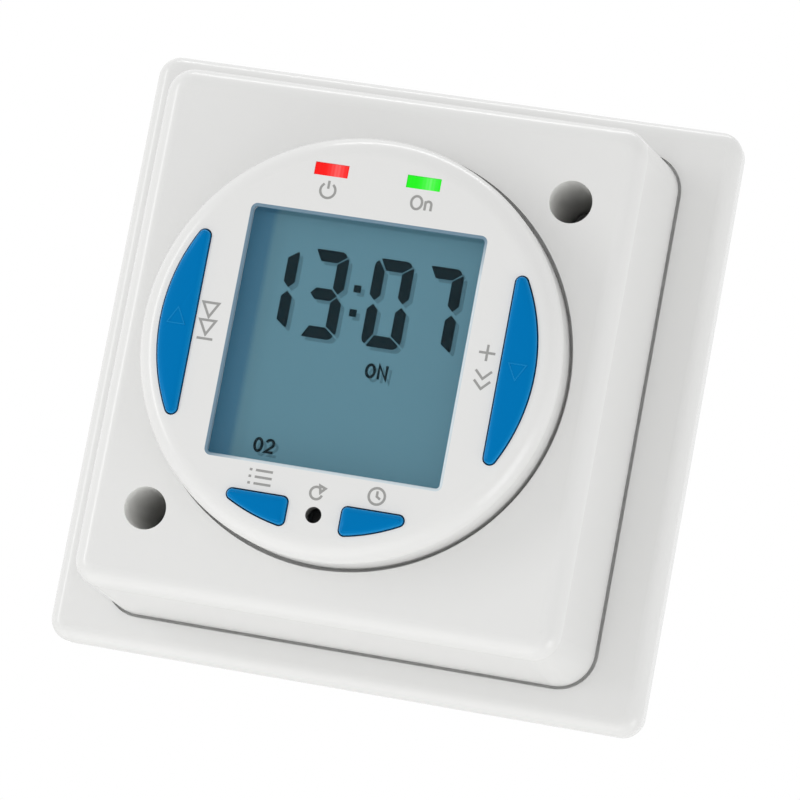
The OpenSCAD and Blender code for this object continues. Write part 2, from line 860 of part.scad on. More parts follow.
module time_button() {
    button(time_at) {
        small_outline(0);
        small_outline(button_lap);
    }
}

// The moving plunger of a push switch
module plunger(at) {
    color("black") union() {
        peg(at, plunger_d / 2, plunger_foot, plunger_top);
    }
}

module override_plunger() {
    plunger(override_at);
}

module boost_plunger() {
    plunger(boost_at);
}

module program_plunger() {
    plunger(program_at);
}

module time_plunger() {
    plunger(time_at);
}

module reset_plunger() {
    plunger(reset_at);
}

// The fixed body of a push switch, with a blind bore for its plunger
module push_switch(at) {
    color("darkgray") difference() {
        block(at, [switch_size, switch_size], board_front, switch_top);
        peg(at, plunger_d / 2 + plunger_gap, plunger_foot - plunger_room, switch_top + past);
    }
}

module override_switch() {
    push_switch(override_at);
}

module boost_switch() {
    push_switch(boost_at);
}

module program_switch() {
    push_switch(program_at);
}

module time_switch() {
    push_switch(time_at);
}

module reset_switch() {
    push_switch(reset_at);
}

// A lamp window with its light pipe and its flange behind the dial
module lamp(at) {
    union() {
        block(at, [lamp_w - 2 * window_clear, lamp_h - 2 * window_clear], dial_under - lamp_tail,
            dial_face);
        block(at, [lamp_w + 2 * lamp_flange, lamp_h + 2 * lamp_flange], dial_under - lens_flange_t,
            dial_under);
    }
}

module power_lamp() {
    color("red") lamp([-lamp_x, lamp_z]);
}

module on_lamp() {
    color("lime") lamp([lamp_x, lamp_z]);
}

// A small lamp chip with a domed top
module led(at) {
    union() {
        block(at, led_size, board_front, board_front + led_h);
        translate([at[0], -(board_front + led_h), at[1]]) sphere(led_dome_r);
    }
}

module power_led() {
    color("mistyrose") led([-lamp_x, lamp_z]);
}

module on_led() {
    color("honeydew") led([lamp_x, lamp_z]);
}

module microcontroller() {
    lead_n = 8;
    lead_pitch = chip_size / (lead_n + 2);
    color("darkslategray") union() {
        block(chip_at, [chip_size, chip_size], board_back - chip_t - thread_gap, board_back - thread_gap);
        for (turn = [0, 90, 180, 270], i = [0 : lead_n - 1])
            translate([chip_at[0], 0, chip_at[1]]) rotate([0, turn, 0])
                block([(i - (lead_n - 1) / 2) * lead_pitch, chip_size / 2], [0.4, 2 * chip_lead],
                    board_back - chip_t / 2, board_back);
    }
}

module crystal() {
    color("silver") rod_z(crystal_at, board_back - crystal_r, crystal_r, crystal_l);
}

module backup_battery() {
    color("silver") union() {
        peg(battery_at, battery_r, board_back - tab_t - battery_t, board_back - tab_t);
        peg(battery_at, battery_r - 1.5, board_back - tab_t - battery_t - 0.3, board_back - tab_t);
    }
}

module battery_tabs() {
    tab_w = 4;
    tab_back = board_back - tab_t - battery_t - 0.3;
    color("lightgray") {
        block(battery_at, [battery_r, tab_w], board_back - tab_t, board_back);
        union() {
            block(battery_at + [battery_r / 2 + 0.5, 0], [battery_r + 1, tab_w], tab_back - tab_t, tab_back);
            block(battery_at + [battery_r + 1 - tab_t / 2, 0], [tab_t, tab_w], tab_back - tab_t, board_back);
        }
    }
}

module link_socket() {
    color("black") difference() {
        block(link_at, [link_l, link_w], board_back - link_socket_h, board_back);
        for (i = [0 : link_pins - 1])
            block(link_at + [(i - (link_pins - 1) / 2) * link_pitch, 0], [link_pin + 0.2, link_pin + 0.2],
                board_back - link_socket_h - past, board_back + past);
    }
}

module link_header() {
    color("gold") union() {
        block(link_at, [link_l, link_w], power_front, power_front + link_base_h);
        for (i = [0 : link_pins - 1])
            block(link_at + [(i - (link_pins - 1) / 2) * link_pitch, 0], [link_pin, link_pin],
                power_front + link_base_h - weld, board_back - link_socket_h / 3);
    }
}

module power_board() {
    color("darkgreen") difference() {
        slab(power_back, power_front) rounded(power_w, power_h, power_hole_inset);
        for (at = power_points) small_clear(at, power_back, power_front);
        for (x = terminal_x) block([x, blade_z], [blade_t + 2 * thread_gap, blade_w + 2 * thread_gap],
            power_back - past, power_front + past);
    }
}

module power_board_screws() {
    color("silver") for (at = power_points) translate([0, -2 * power_front, 0]) mirror([0, 1, 0])
        small_screw(at, power_front, power_screw_l);
}

module blade_pins() {
    color("gold") for (x = terminal_x)
        block([x, blade_z], [blade_t, blade_w], blade_tip, power_front + blade_tail);
}

module relay_base() {
    color("black") block(relay_at, [relay_l - 2 * (relay_wall + seat_gap),
        relay_w - 2 * (relay_wall + seat_gap)], power_front, relay_floor);
}

module relay_cover() {
    color("royalblue") difference() {
        block(relay_at, [relay_l, relay_w], power_front, power_front + relay_h);
        block(relay_at, [relay_l - 2 * relay_wall, relay_w - 2 * relay_wall], power_front - past,
            power_front + relay_h - relay_wall);
    }
}

module relay_yoke() {
    foot_l = relay_coil_x + coil_r - relay_pivot_x;
    color("slategray") union() {
        block([relay_pivot_x + foot_l / 2 - relay_yoke_t / 2, relay_at[1]], [foot_l, relay_arm_w],
            relay_floor, relay_floor + relay_yoke_t);
        block([relay_pivot_x, relay_at[1]], [relay_yoke_t, relay_arm_w], relay_floor,
            relay_arm_back - 2 * thread_gap);
        rod_z([relay_pivot_x, relay_at[1]], relay_pivot_h, relay_bead_r, relay_arm_w);
        peg([relay_coil_x, relay_at[1]], coil_r * 0.4, relay_floor, relay_core_top);
    }
}

module relay_coil() {
    at = [relay_coil_x, relay_at[1]];
    foot = relay_floor + relay_yoke_t;
    head = relay_core_top - 0.2;
    cheek = 0.7;
    color("sienna") difference() {
        union() {
            peg(at, coil_r - 0.5, foot, head);
            peg(at, coil_r, foot, foot + cheek);
            peg(at, coil_r, head - cheek, head);
        }
        peg(at, coil_r * 0.4 + thread_gap, foot - past, head + past);
    }
}

module relay_armature() {
    right = relay_pivot_x - relay_yoke_t / 2 + relay_arm_l;
    left = relay_pivot_x - relay_heel;
    color("lightslategray") difference() {
        block([(left + right) / 2, relay_at[1]], [right - left, relay_arm_w], relay_arm_back,
            relay_arm_back + relay_arm_t);
        rod_z([relay_pivot_x, relay_at[1]], relay_pivot_h, relay_bead_r + thread_gap,
            relay_arm_w + 2 * past);
    }
}

module relay_spring() {
    leaf_back = relay_arm_back + relay_arm_t;
    leaf_l = relay_tip_x + relay_dot_r - relay_pivot_x;
    color("peru") union() {
        block([relay_pivot_x + leaf_l / 2, relay_at[1]], [leaf_l, relay_leaf_w], leaf_back,
            leaf_back + relay_leaf_t);
        peg([relay_tip_x, relay_at[1]], relay_dot_r, leaf_back - relay_dot_h, leaf_back + weld);
    }
}

module relay_contact() {
    dot_top = relay_arm_back + relay_arm_t - relay_dot_h - relay_contact_gap;
    color("peru") union() {
        peg([relay_tip_x, relay_at[1]], relay_dot_r, dot_top - relay_dot_h, dot_top);
        block([relay_tip_x, relay_at[1]], [relay_dot_r, relay_leaf_w], relay_floor,
            dot_top - relay_dot_h / 2);
    }
}

module film_capacitor() {
    color("gold") block(film_at, film_size, power_front, power_front + film_size[2]);
}

module electrolytic_capacitor() {
    color("midnightblue") translate([can_at[0], -power_front, can_at[1]]) turned() difference() {
        intersection() {
            arch(2 * can_r, can_h, 0.6);
            square([can_r, can_h]);
        }
        translate([can_r, can_h * 0.15]) circle(0.5);
    }
}

module varistor() {
    color("steelblue") union() {
        rod_x(disc_at, power_front + disc_r + 1, disc_r, disc_t);
        for (s = [-1, 1]) peg(disc_at + [0, s * disc_r / 2], lead_r, power_front, power_front + disc_r);
    }
}

module bridge_rectifier() {
    color("black") block(bridge_at, bridge_size, power_front, power_front + bridge_size[2]);
}

module fuse_resistor() {
    lead_x = fuse_l / 2 + 1;
    lead_h = power_front + fuse_r + 0.3;
    color("tan") union() {
        rod_x(fuse_at, lead_h, fuse_r, fuse_l);
        rod_x(fuse_at, lead_h, lead_r, 2 * lead_x);
        for (s = [-1, 1]) peg(fuse_at + [s * (lead_x - lead_r), 0], lead_r * 0.8, power_front, lead_h);
    }
}

wall_plate();
plate_inserts();
terminal_housing();
housing_screws();
terminal_cages();
terminal_screws();
front_body();
back_cover();
cover_screws();
body_screws();
dial_bezel();
lcd_lens();
lcd_cell();
lcd_frame();
light_guide();
backlight_leds();
contact_strips();
display_board();
board_screws();
override_button();
boost_button();
program_button();
time_button();
override_plunger();
boost_plunger();
program_plunger();
time_plunger();
reset_plunger();
override_switch();
boost_switch();
program_switch();
time_switch();
reset_switch();
power_lamp();
on_lamp();
power_led();
on_led();
microcontroller();
crystal();
backup_battery();
battery_tabs();
link_socket();
link_header();
power_board();
power_board_screws();
blade_pins();
relay_base();
relay_cover();
relay_coil();
relay_yoke();
relay_armature();
relay_spring();
relay_contact();
film_capacitor();
electrolytic_capacitor();
varistor();
bridge_rectifier();
fuse_resistor();
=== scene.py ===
"""Looks for the timer light switch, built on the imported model.

The moulded shells, boards and fittings of the model stay and get finishes. The four blue keys with
their arrows, the bevel round the window, the figures of the display and all the print are surfaces
worked out here.
"""

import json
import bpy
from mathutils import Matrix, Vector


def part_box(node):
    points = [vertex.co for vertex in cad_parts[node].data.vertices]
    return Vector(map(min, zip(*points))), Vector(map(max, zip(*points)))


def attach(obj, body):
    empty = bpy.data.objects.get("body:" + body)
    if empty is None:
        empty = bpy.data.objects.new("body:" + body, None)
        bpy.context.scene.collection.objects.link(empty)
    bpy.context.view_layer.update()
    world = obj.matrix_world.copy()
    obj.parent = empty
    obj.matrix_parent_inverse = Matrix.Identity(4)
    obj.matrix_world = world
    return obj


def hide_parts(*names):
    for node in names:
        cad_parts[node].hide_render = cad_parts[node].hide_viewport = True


bl_info = {
    "name": "Timer switch looks",
    "version": (1, 0, 0),
    "blender": (4, 5, 0),
    "location": "View3D > Sidebar > Timer switch",
    "description": "Keys, display figures, print, finishes and stage for the timer light switch",
    "category": "Object",
}

import bmesh
import bpy
import numpy as np
from bpy.props import FloatProperty, FloatVectorProperty, PointerProperty
from mathutils import Matrix

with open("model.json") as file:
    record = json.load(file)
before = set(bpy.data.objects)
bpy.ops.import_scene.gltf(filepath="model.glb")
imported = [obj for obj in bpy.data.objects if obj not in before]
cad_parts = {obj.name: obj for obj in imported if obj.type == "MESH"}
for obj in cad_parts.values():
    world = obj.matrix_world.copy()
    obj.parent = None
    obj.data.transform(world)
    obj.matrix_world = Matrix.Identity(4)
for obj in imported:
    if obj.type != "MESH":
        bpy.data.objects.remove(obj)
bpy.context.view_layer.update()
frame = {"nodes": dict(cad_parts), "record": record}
MM = 0.001

# Places and sizes of the model that the looks follow, in millimetres
RESET_Z, RESET_R = -23.05, 1.15
WINDOW_W, WINDOW_H, WINDOW_CORNER = 32.8, 34.7, 0.9
LAMP_X, LAMP_HALF_W = 6.4, 2.4
SIDE_KEY_X, SMALL_KEY_X, SMALL_KEY_Z = 23.5, 6.6, -22.6
FLANGE_OUT, FLANGE_LOW, FLANGE_HIGH = 0.7, 33.35, 34.35
STEM_R, STEM_TOP = 1.5, 33.4
TERMINALS_X, TERMINAL_Z = (-13.8, -4.6, 4.6, 13.8), -20.45
# Small step by which one surface clears another or reaches into it, in millimetres
HAIR = 0.02


def front_of(node):
    """Height of a node's front over the wall face, in millimetres."""
    return round(-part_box(node)[0].y / MM, 4)


def back_of(node):
    """Height of a node's back over the wall face, in millimetres."""
    return round(-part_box(node)[1].y / MM, 4)


def tone(red, green, blue):
    """A colour as a screen shows it, 0 to 255, turned into the linear values that shaders use."""
    c = np.array([red, green, blue]) / 255.0
    return tuple(float(v) for v in np.where(c <= 0.04045, c / 12.92, ((c + 0.055) / 1.055) ** 2.4))


# Settings that a user may change


def length(label, text, millimetres):
    """A length property in metres, from its default in millimetres."""
    return FloatProperty(name=label, description=text, default=millimetres * MM, min=0.0, unit="LENGTH",
                         precision=5)


def colour(label, text, value):
    """A colour property in linear values."""
    return FloatVectorProperty(name=label, description=text, default=value, size=3, min=0.0, max=1.0,
                               subtype="COLOR")


class SwitchSizes(bpy.types.PropertyGroup):
    """Sizes of the pieces that are added to the model."""

    well_at: length("Well place", "Distance of the screw wells from the middle, across and up", 25.05)
    well_r: length("Well radius", "Radius of the screw wells", 2.95)
    dial_face: length("Dial face", "Height of the dial's face over the wall", front_of("dial_bezel"))
    glass_face: length("Window face", "Height of the clear window over the wall", front_of("lcd_lens"))
    cell_face: length("Cell face", "Height of the display cell over the wall", front_of("lcd_cell"))
    key_face: length("Key face", "Height of the keys over the wall", front_of("override_button"))
    key_stem: length("Key stem", "Height of the foot of the key stems", back_of("override_button"))
    key_round: length("Key edge", "Radius of the rounded edge of the keys", 0.4)
    key_crown: length("Key crown", "Rise of the keys towards their middle", 0.14)
    arrow_rise: length("Arrow rise", "Height of the raised arrow on the side keys", 0.05)
    bevel: length("Window bevel", "Width of the bevel round the window", 0.42)
    digit_h: length("Figure height", "Height of the large display figures", 12.1)
    shade_x: length("Shadow right", "Shift of the figures' shadow to the right", 0.55)
    shade_z: length("Shadow down", "Shift of the figures' shadow downwards", 0.45)
    print_w: length("Print line", "Width of the printed lines", 0.33)
    print_rise: length("Print rise", "Thickness of the printed ink", 0.012)


class SwitchColours(bpy.types.PropertyGroup):
    """Colours of the visible finishes."""

    white: colour("White", "White mouldings", tone(229, 229, 228))
    blue: colour("Blue", "Keys", tone(0, 115, 181))
    cell: colour("Cell", "Display background", tone(102, 148, 165))
    figure: colour("Figures", "Display figures", tone(10, 35, 43))
    ink: colour("Ink", "Printed marks on the dial", tone(152, 152, 150))
    red: colour("Red", "Power lamp", tone(246, 10, 6))
    green: colour("Green", "On lamp", tone(24, 238, 20))
    grey: colour("Grey", "Rear mouldings", tone(203, 204, 202))


# Shader maths and nodes


class Wire:
    """One output of a node. Arithmetic on it adds Math nodes and gives the next output."""

    def __init__(self, finish, socket):
        self.finish, self.socket = finish, socket

    def math(self, operation, *sides, **settings):
        return self.finish.node("ShaderNodeMath", {"operation": operation, **settings}, sides)

    def __add__(self, other):
        return self.math("ADD", self, other)

    def __sub__(self, other):
        return self.math("SUBTRACT", self, other)

    def __rsub__(self, other):
        return self.math("SUBTRACT", other, self)

    def __mul__(self, other):
        return self.math("MULTIPLY", self, other)

    def __truediv__(self, other):
        return self.math("DIVIDE", self, other)

    def __pow__(self, other):
        return self.math("POWER", self, other)

    def __gt__(self, other):
        return self.math("GREATER_THAN", self, other)

    def __lt__(self, other):
        return self.math("LESS_THAN", self, other)

    def __abs__(self):
        return self.math("ABSOLUTE", self)

    __radd__ = __add__

    def most(self, other):
        return self.math("MAXIMUM", self, other)

    def held(self):
        """The value, kept between 0 and 1."""
        return self.math("ADD", self, 0.0, use_clamp=True)

    def axis(self, name):
        """The X, Y or Z of a vector."""
        return self.finish.node("ShaderNodeSeparateXYZ", {}, [self], name)


class Finish:
    """A tree of shader nodes, for a material or for the world."""

    def __init__(self, owner):
        owner.use_nodes = True
        self.owner, self.tree = owner, owner.node_tree
        self.tree.nodes.clear()

    @classmethod
    def named(cls, name):
        return cls(bpy.data.materials.new(name))

    def node(self, kind, settings=None, inputs=(), output=0):
        """Adds a node: its settings first, then values or links for its sockets."""
        made = self.tree.nodes.new(kind)
        for key, value in (settings or {}).items():
            setattr(made, key, value)
        for key, value in inputs.items() if isinstance(inputs, dict) else enumerate(inputs):
            if isinstance(value, Wire):
                self.tree.links.new(value.socket, made.inputs[key])
            elif isinstance(value, tuple) and len(value) == 3 and made.inputs[key].type == "RGBA":
                made.inputs[key].default_value = (*value, 1.0)
            else:
                made.inputs[key].default_value = value
        return Wire(self, made.outputs[output]) if made.outputs else made

    def where(self, scale=None):
        """Object coordinates in metres, stretched where a scale is given."""
        at = self.node("ShaderNodeTexCoord", output="Object")
        return at if scale is None else self.times(at, scale)

    def times(self, vector, factors):
        """A place or a colour, multiplied part by part."""
        return self.node("ShaderNodeVectorMath", {"operation": "MULTIPLY"}, [vector, factors])

    def noise(self, at, scale, detail):
        """Smooth noise, 0 to 1, with features of 1/scale metres."""
        return self.node("ShaderNodeTexNoise", {}, {"Vector": at, "Scale": scale, "Detail": detail})

    def bands(self, at, scale, direction):
        """Soft stripes across one direction, 0 to 1, with 20 scale / (2 pi) of them to the metre."""
        return self.node("ShaderNodeTexWave", {"bands_direction": direction},
                         {"Vector": at, "Scale": scale, "Distortion": 0.0})

    def cells(self, at, scale):
        """Distance from the nearest of scattered points, which lie about 1/scale metres apart."""
        return self.node("ShaderNodeTexVoronoi", {}, {"Vector": at, "Scale": scale}, "Distance")

    def blend(self, share, first, second):
        """The first colour turning into the second as share goes from 0 to 1."""
        return self.node("ShaderNodeMix", {"data_type": "RGBA"}, {0: share, 6: first, 7: second}, 2)

    def bump(self, height, strength, deep=0.0001):
        """A normal that follows a height, deep metres high at full strength."""
        return self.node("ShaderNodeBump", {}, {"Strength": strength, "Distance": deep, "Height": height})

    def surface(self, sockets):
        """Ends the material in one shader with these sockets, and gives the material."""
        skin = self.node("ShaderNodeBsdfPrincipled", {}, sockets)
        self.node("ShaderNodeOutputMaterial", {}, {"Surface": skin})
        return self.owner


def deeper(base, share):
    """A colour times one share, or each part of it times its own."""
    return tuple(float(v) for v in np.asarray(base) * share)


def window_place(at):
    """Place across and up in the display window, from -1 to 1 between its edges."""
    return at.axis("X") / (WINDOW_W / 2.0 * MM), at.axis("Z") / (WINDOW_H / 2.0 * MM)


# Finishes


def moulding(name, base, rough, peel, depth, tint, glint=(1.0, 1.0, 1.0), painted_light_and_shade=()):
    """Moulded plastic: two close tones drifting over 25 mm, a fine fleck, orange peel in the skin and a
    gloss that wanders a little. Each entry of painted light and shade is a share of the surface and the
    colour painted there."""
    f = Finish.named(name)
    at = f.where()
    drift, fleck = f.noise(at, 40.0, 1.0), f.noise(at, 5200.0, 1.0)
    shade = (drift * 0.75 + fleck * 0.25).held()
    gloss = f.noise(at, 60.0, 1.0)
    skin = f.blend(shade, base, deeper(base, tint))
    # Painted light and shade laid over the moulding's own tone
    for share, paint in painted_light_and_shade:
        skin = f.blend(share(at), skin, paint)
    return f.surface({
        "Base Color": skin,
        "Roughness": rough[0] + gloss * (rough[1] - rough[0]),
        "Specular Tint": glint,
        "Normal": f.bump(f.noise(at, peel, 2.0) + fleck * 0.08, depth),
    })


def well_wall_light(offset, radius):
    """Share of painted light in the two screw wells, which paints their walls paler where they lie in shade:
    full within their radius, where across and up are both plus or both minus the offset."""
    def share(at):
        across, up = at.axis("X"), at.axis("Z")
        inside = ((abs(across) - offset) ** 2.0 + (abs(up) - offset) ** 2.0) < radius ** 2.0
        return inside * ((across * up) > 0.0)
    return share


def pin_hole(middle, radius, face):
    """Share of shade in the reset hole: full inside its radius and 0.15 mm below the dial's face."""
    def share(at):
        inside = (at.axis("X") ** 2.0 + (at.axis("Z") - middle) ** 2.0) < radius ** 2.0
        return inside * ((at.axis("Y") + face) / (0.15 * MM)).held()
    return share


def key_rim_highlight(edge, radius):
    """Share of the painted highlight on the rim of a key: none at its top, 0.4 at the foot of its rounded
    edge.
    """
    def share(at):
        return ((at.axis("Y") + edge + 0.05 * MM) / (0.6 * radius)).held() * 0.4
    return share


def textured(name, base, rough=(0.45, 0.6), grain=2600.0, depth=0.25, tint=0.9):
    """Spark-textured plastic: a cell pattern of about 0.4 mm in the skin, dull, with a soft drift of tone."""
    f = Finish.named(name)
    at = f.where()
    pits, drift = f.cells(at, grain), f.noise(at, 70.0, 3.0)
    return f.surface({
        "Base Color": f.blend((drift * 0.7 + pits * 0.4).held(), base, deeper(base, tint)),
        "Roughness": rough[0] + drift * (rough[1] - rough[0]),
        "Normal": f.bump(pits + f.noise(at, grain * 2.2, 1.0) * 0.4, depth, 0.00005),
    })


def metal(name, base, rough=(0.2, 0.4), draw=(900.0, 6000.0, 900.0), depth=0.12, dull=0.75):
    """Worked metal: fine lines drawn along one way, patches of tarnish and a gloss broken by both."""
    f = Finish.named(name)
    lines, patch = f.noise(f.where(draw), 1.0, 3.0), f.noise(f.where(), 420.0, 4.0)
    worn = ((patch - 0.42) * 3.0).held()
    return f.surface({
        "Base Color": f.blend(worn * 0.6 + lines * 0.25, base, deeper(base, dull)),
        "Metallic": 1.0,
        "Roughness": rough[0] + (lines * 0.5 + patch * 0.5) * (rough[1] - rough[0]),
        "Normal": f.bump(lines, depth, 0.00003),
    })


def clear_window(name):
    """Clear acrylic: almost all of the light goes through, a faint veil of fine scuffs is left."""
    f = Finish.named(name)
    at = f.where()
    scuff = f.noise(f.where((2500.0, 2500.0, 300.0)), 1.0, 2.0)
    return f.surface({
        "Base Color": (0.02, 0.03, 0.035),
        "Roughness": 0.05 + f.noise(at, 300.0, 3.0) * 0.06 + scuff * 0.02,
        "Alpha": 0.04 + scuff * 0.015,
        "IOR": 1.49,
    })


def display_cell(name, base):
    """Display lit partly from behind: a fleck as fine as the rear foil, painted shade that makes the rim a
    little darker than the middle, and painted shade, darker and bluer, towards the left where the window's
    wall stands over it."""
    f = Finish.named(name)
    at = f.where()
    across, up = window_place(at)
    foil = f.noise(at, 9000.0, 1.0)
    # Painted shade: the rim of the cell is painted darker than its middle
    rim = ((abs(across) ** 6.0) * 0.5 + (abs(up) ** 6.0) * 0.35).held()
    # Painted shade: towards the left, under the window's wall, the cell is painted darker and bluer
    left = ((across * -1.0 - 0.8) * 18.0).held()
    tint = f.blend(rim, base, deeper(base, (0.9, 0.93, 0.96)))
    left_shade = f.blend(left * 0.75, tint, deeper(base, (0.3, 0.56, 0.78)))
    skin = f.blend(foil * 0.12, left_shade, deeper(base, 0.8))
    dim, glow = (f.times(skin, (k, k, k)) for k in (0.55, 0.37))
    return f.surface({
        "Base Color": dim,
        "Emission Color": glow,
        "Emission Strength": 1.0,
        "Roughness": 0.34 + foil * 0.08,
        "Specular IOR Level": 0.12,
        "Normal": f.bump(foil, 0.04, 0.00002),
    })


def clear_bevel(name, pale, deep):
    """Bevelled edge of the window, painted by side: on the right and below, a painted highlight makes it
    pale, as with the light from the wall; on the left and above it is painted in the display's blue, as if
    the display showed through it. Across and up decide, from corner to corner."""
    f = Finish.named(name)
    at = f.where()
    across, up = window_place(at)
    lower_right_highlight = ((across - up) * 3.0).held()
    scuff = f.noise(at, 900.0, 2.0)
    return f.surface({
        "Base Color": f.blend(scuff * 0.06, f.blend(lower_right_highlight, deep, pale), deeper(pale, 0.9)),
        "Roughness": 0.12 + scuff * 0.08,
        "Normal": f.bump(scuff, 0.02),
    })


def figure_film(name, base, alpha):
    """Liquid crystal figures, and the painted shadow that lies under them: a dark film with a slight uneven
    density.
    """
    f = Finish.named(name)
    at = f.where()
    dense = f.noise(at, 1400.0, 2.0)
    return f.surface({
        "Base Color": f.blend(dense, base, deeper(base, 0.8)),
        "Roughness": 0.3 + dense * 0.1,
        "Specular IOR Level": 0.1,
        "Alpha": alpha - dense * 0.05,
    })


def ink_film(name, base):
    """Pad-printed ink: matt, a touch thin in places."""
    f = Finish.named(name)
    at = f.where()
    thin = f.noise(at, 3200.0, 3.0)
    return f.surface({
        "Base Color": f.blend(((thin - 0.45) * 2.5).held(), base, tuple(min(1.0, v * 1.12) for v in base)),
        "Roughness": 0.5 + thin * 0.15,
        "Normal": f.bump(thin, 0.08, 0.00002),
    })


def lamp_window(name, base, middle):
    """Clear coloured lamp window, lit from behind: brighter to the right of its chip, with fine upright
    ribs moulded in its back."""
    f = Finish.named(name)
    at = f.where()
    spread = (at.axis("X") - middle) / (LAMP_HALF_W * MM)
    ribs = f.bands(at, 620.0, "X")
    hot = ((1.0 - abs(spread - 0.35) * 1.2).held() ** 2.0) * (0.55 + ribs * 0.45)
    pale = tuple(v + (1.0 - v) * 0.34 for v in base)
    glow = f.blend(hot * 0.6, deeper(base, 0.82), pale)
    return f.surface({
        "Base Color": f.blend(ribs * 0.3, deeper(base, 0.5), deeper(base, 0.4)),
        "Roughness": 0.16 + ribs * 0.06,
        "Specular IOR Level": 0.2,
        "Emission Color": glow,
        "Emission Strength": 0.72,
        "Normal": f.bump(ribs, 0.1, 0.00005),
    })


def board_laminate(name):
    """Circuit board: green mask over copper tracks that run both ways, lighter where copper lies under it,
    with the weave of the laminate just showing."""
    f = Finish.named(name)
    at = f.where()
    flat = f.node("ShaderNodeMapping", {}, {"Vector": at, "Rotation": (1.5708, 0.0, 0.0)})
    tracks = f.node("ShaderNodeTexBrick", {"offset": 0.37, "squash": 0.6, "squash_frequency": 3},
                    {"Vector": flat, "Scale": 90.0, "Mortar Size": 0.05, "Mortar Smooth": 0.1}, "Fac")
    weave = f.bands(at, 420.0, "X") * f.bands(at, 420.0, "Z")
    patch = (f.noise(at, 120.0, 1.0) - 0.5 > 0.06) * 0.7
    copper = tracks.most(patch * 0.6)
    mask = f.blend(copper, tone(18, 74, 44), tone(44, 118, 66))
    return f.surface({
        "Base Color": f.blend(weave * 0.25, mask, tone(30, 92, 58)),
        "Roughness": 0.28 + weave * 0.15,
        "Coat Weight": 0.35,
        "Coat Roughness": 0.15,
        "Normal": f.bump(copper + weave * 0.15, 0.25, 0.00006),
    })


def striped(name, first, second, scale, direction, rough=0.5, share=0.5, coat=0.0):
    """Stripes of two tones across one direction, with the first tone's own fleck: rubber strips with their
    conducting layers, wound wire and colour bands."""
    f = Finish.named(name)
    at = f.where()
    lines, fleck = f.bands(at, scale, direction), f.noise(at, 2400.0, 2.0)
    edge = ((lines - share) * 6.0 + 0.5).held()
    return f.surface({
        "Base Color": f.blend(fleck * 0.15, f.blend(edge, first, second), deeper(first, 0.7)),
        "Roughness": rough + fleck * 0.12,
        "Coat Weight": coat,
        "Normal": f.bump(lines, 0.3, 0.00005),
    })


def lacquered(name, base, lump=420.0, rough=0.2):
    """Dipped lacquer: glossy, with slow lumps and tiny craters."""
    f = Finish.named(name)
    at = f.where()
    lumps, fleck = f.noise(at, lump, 2.0), f.noise(at, 3000.0, 1.0)
    return f.surface({
        "Base Color": f.blend(lumps, base, deeper(base, 0.82)),
        "Roughness": rough + fleck * 0.12,
        "Coat Weight": 0.4,
        "Normal": f.bump(lumps + fleck * 0.1, 0.3, 0.0001),
    })


def milky(name, base, alpha):
    """Milky acrylic: light goes part way in, and ground edges are duller."""
    f = Finish.named(name)
    at = f.where()
    cloud = f.noise(at, 260.0, 3.0)
    return f.surface({
        "Base Color": f.blend(cloud, base, deeper(base, 0.93)),
        "Roughness": 0.25 + cloud * 0.15,
        "Alpha": alpha,
        "Normal": f.bump(f.noise(at, 2200.0, 1.0), 0.06, 0.00004),
    })


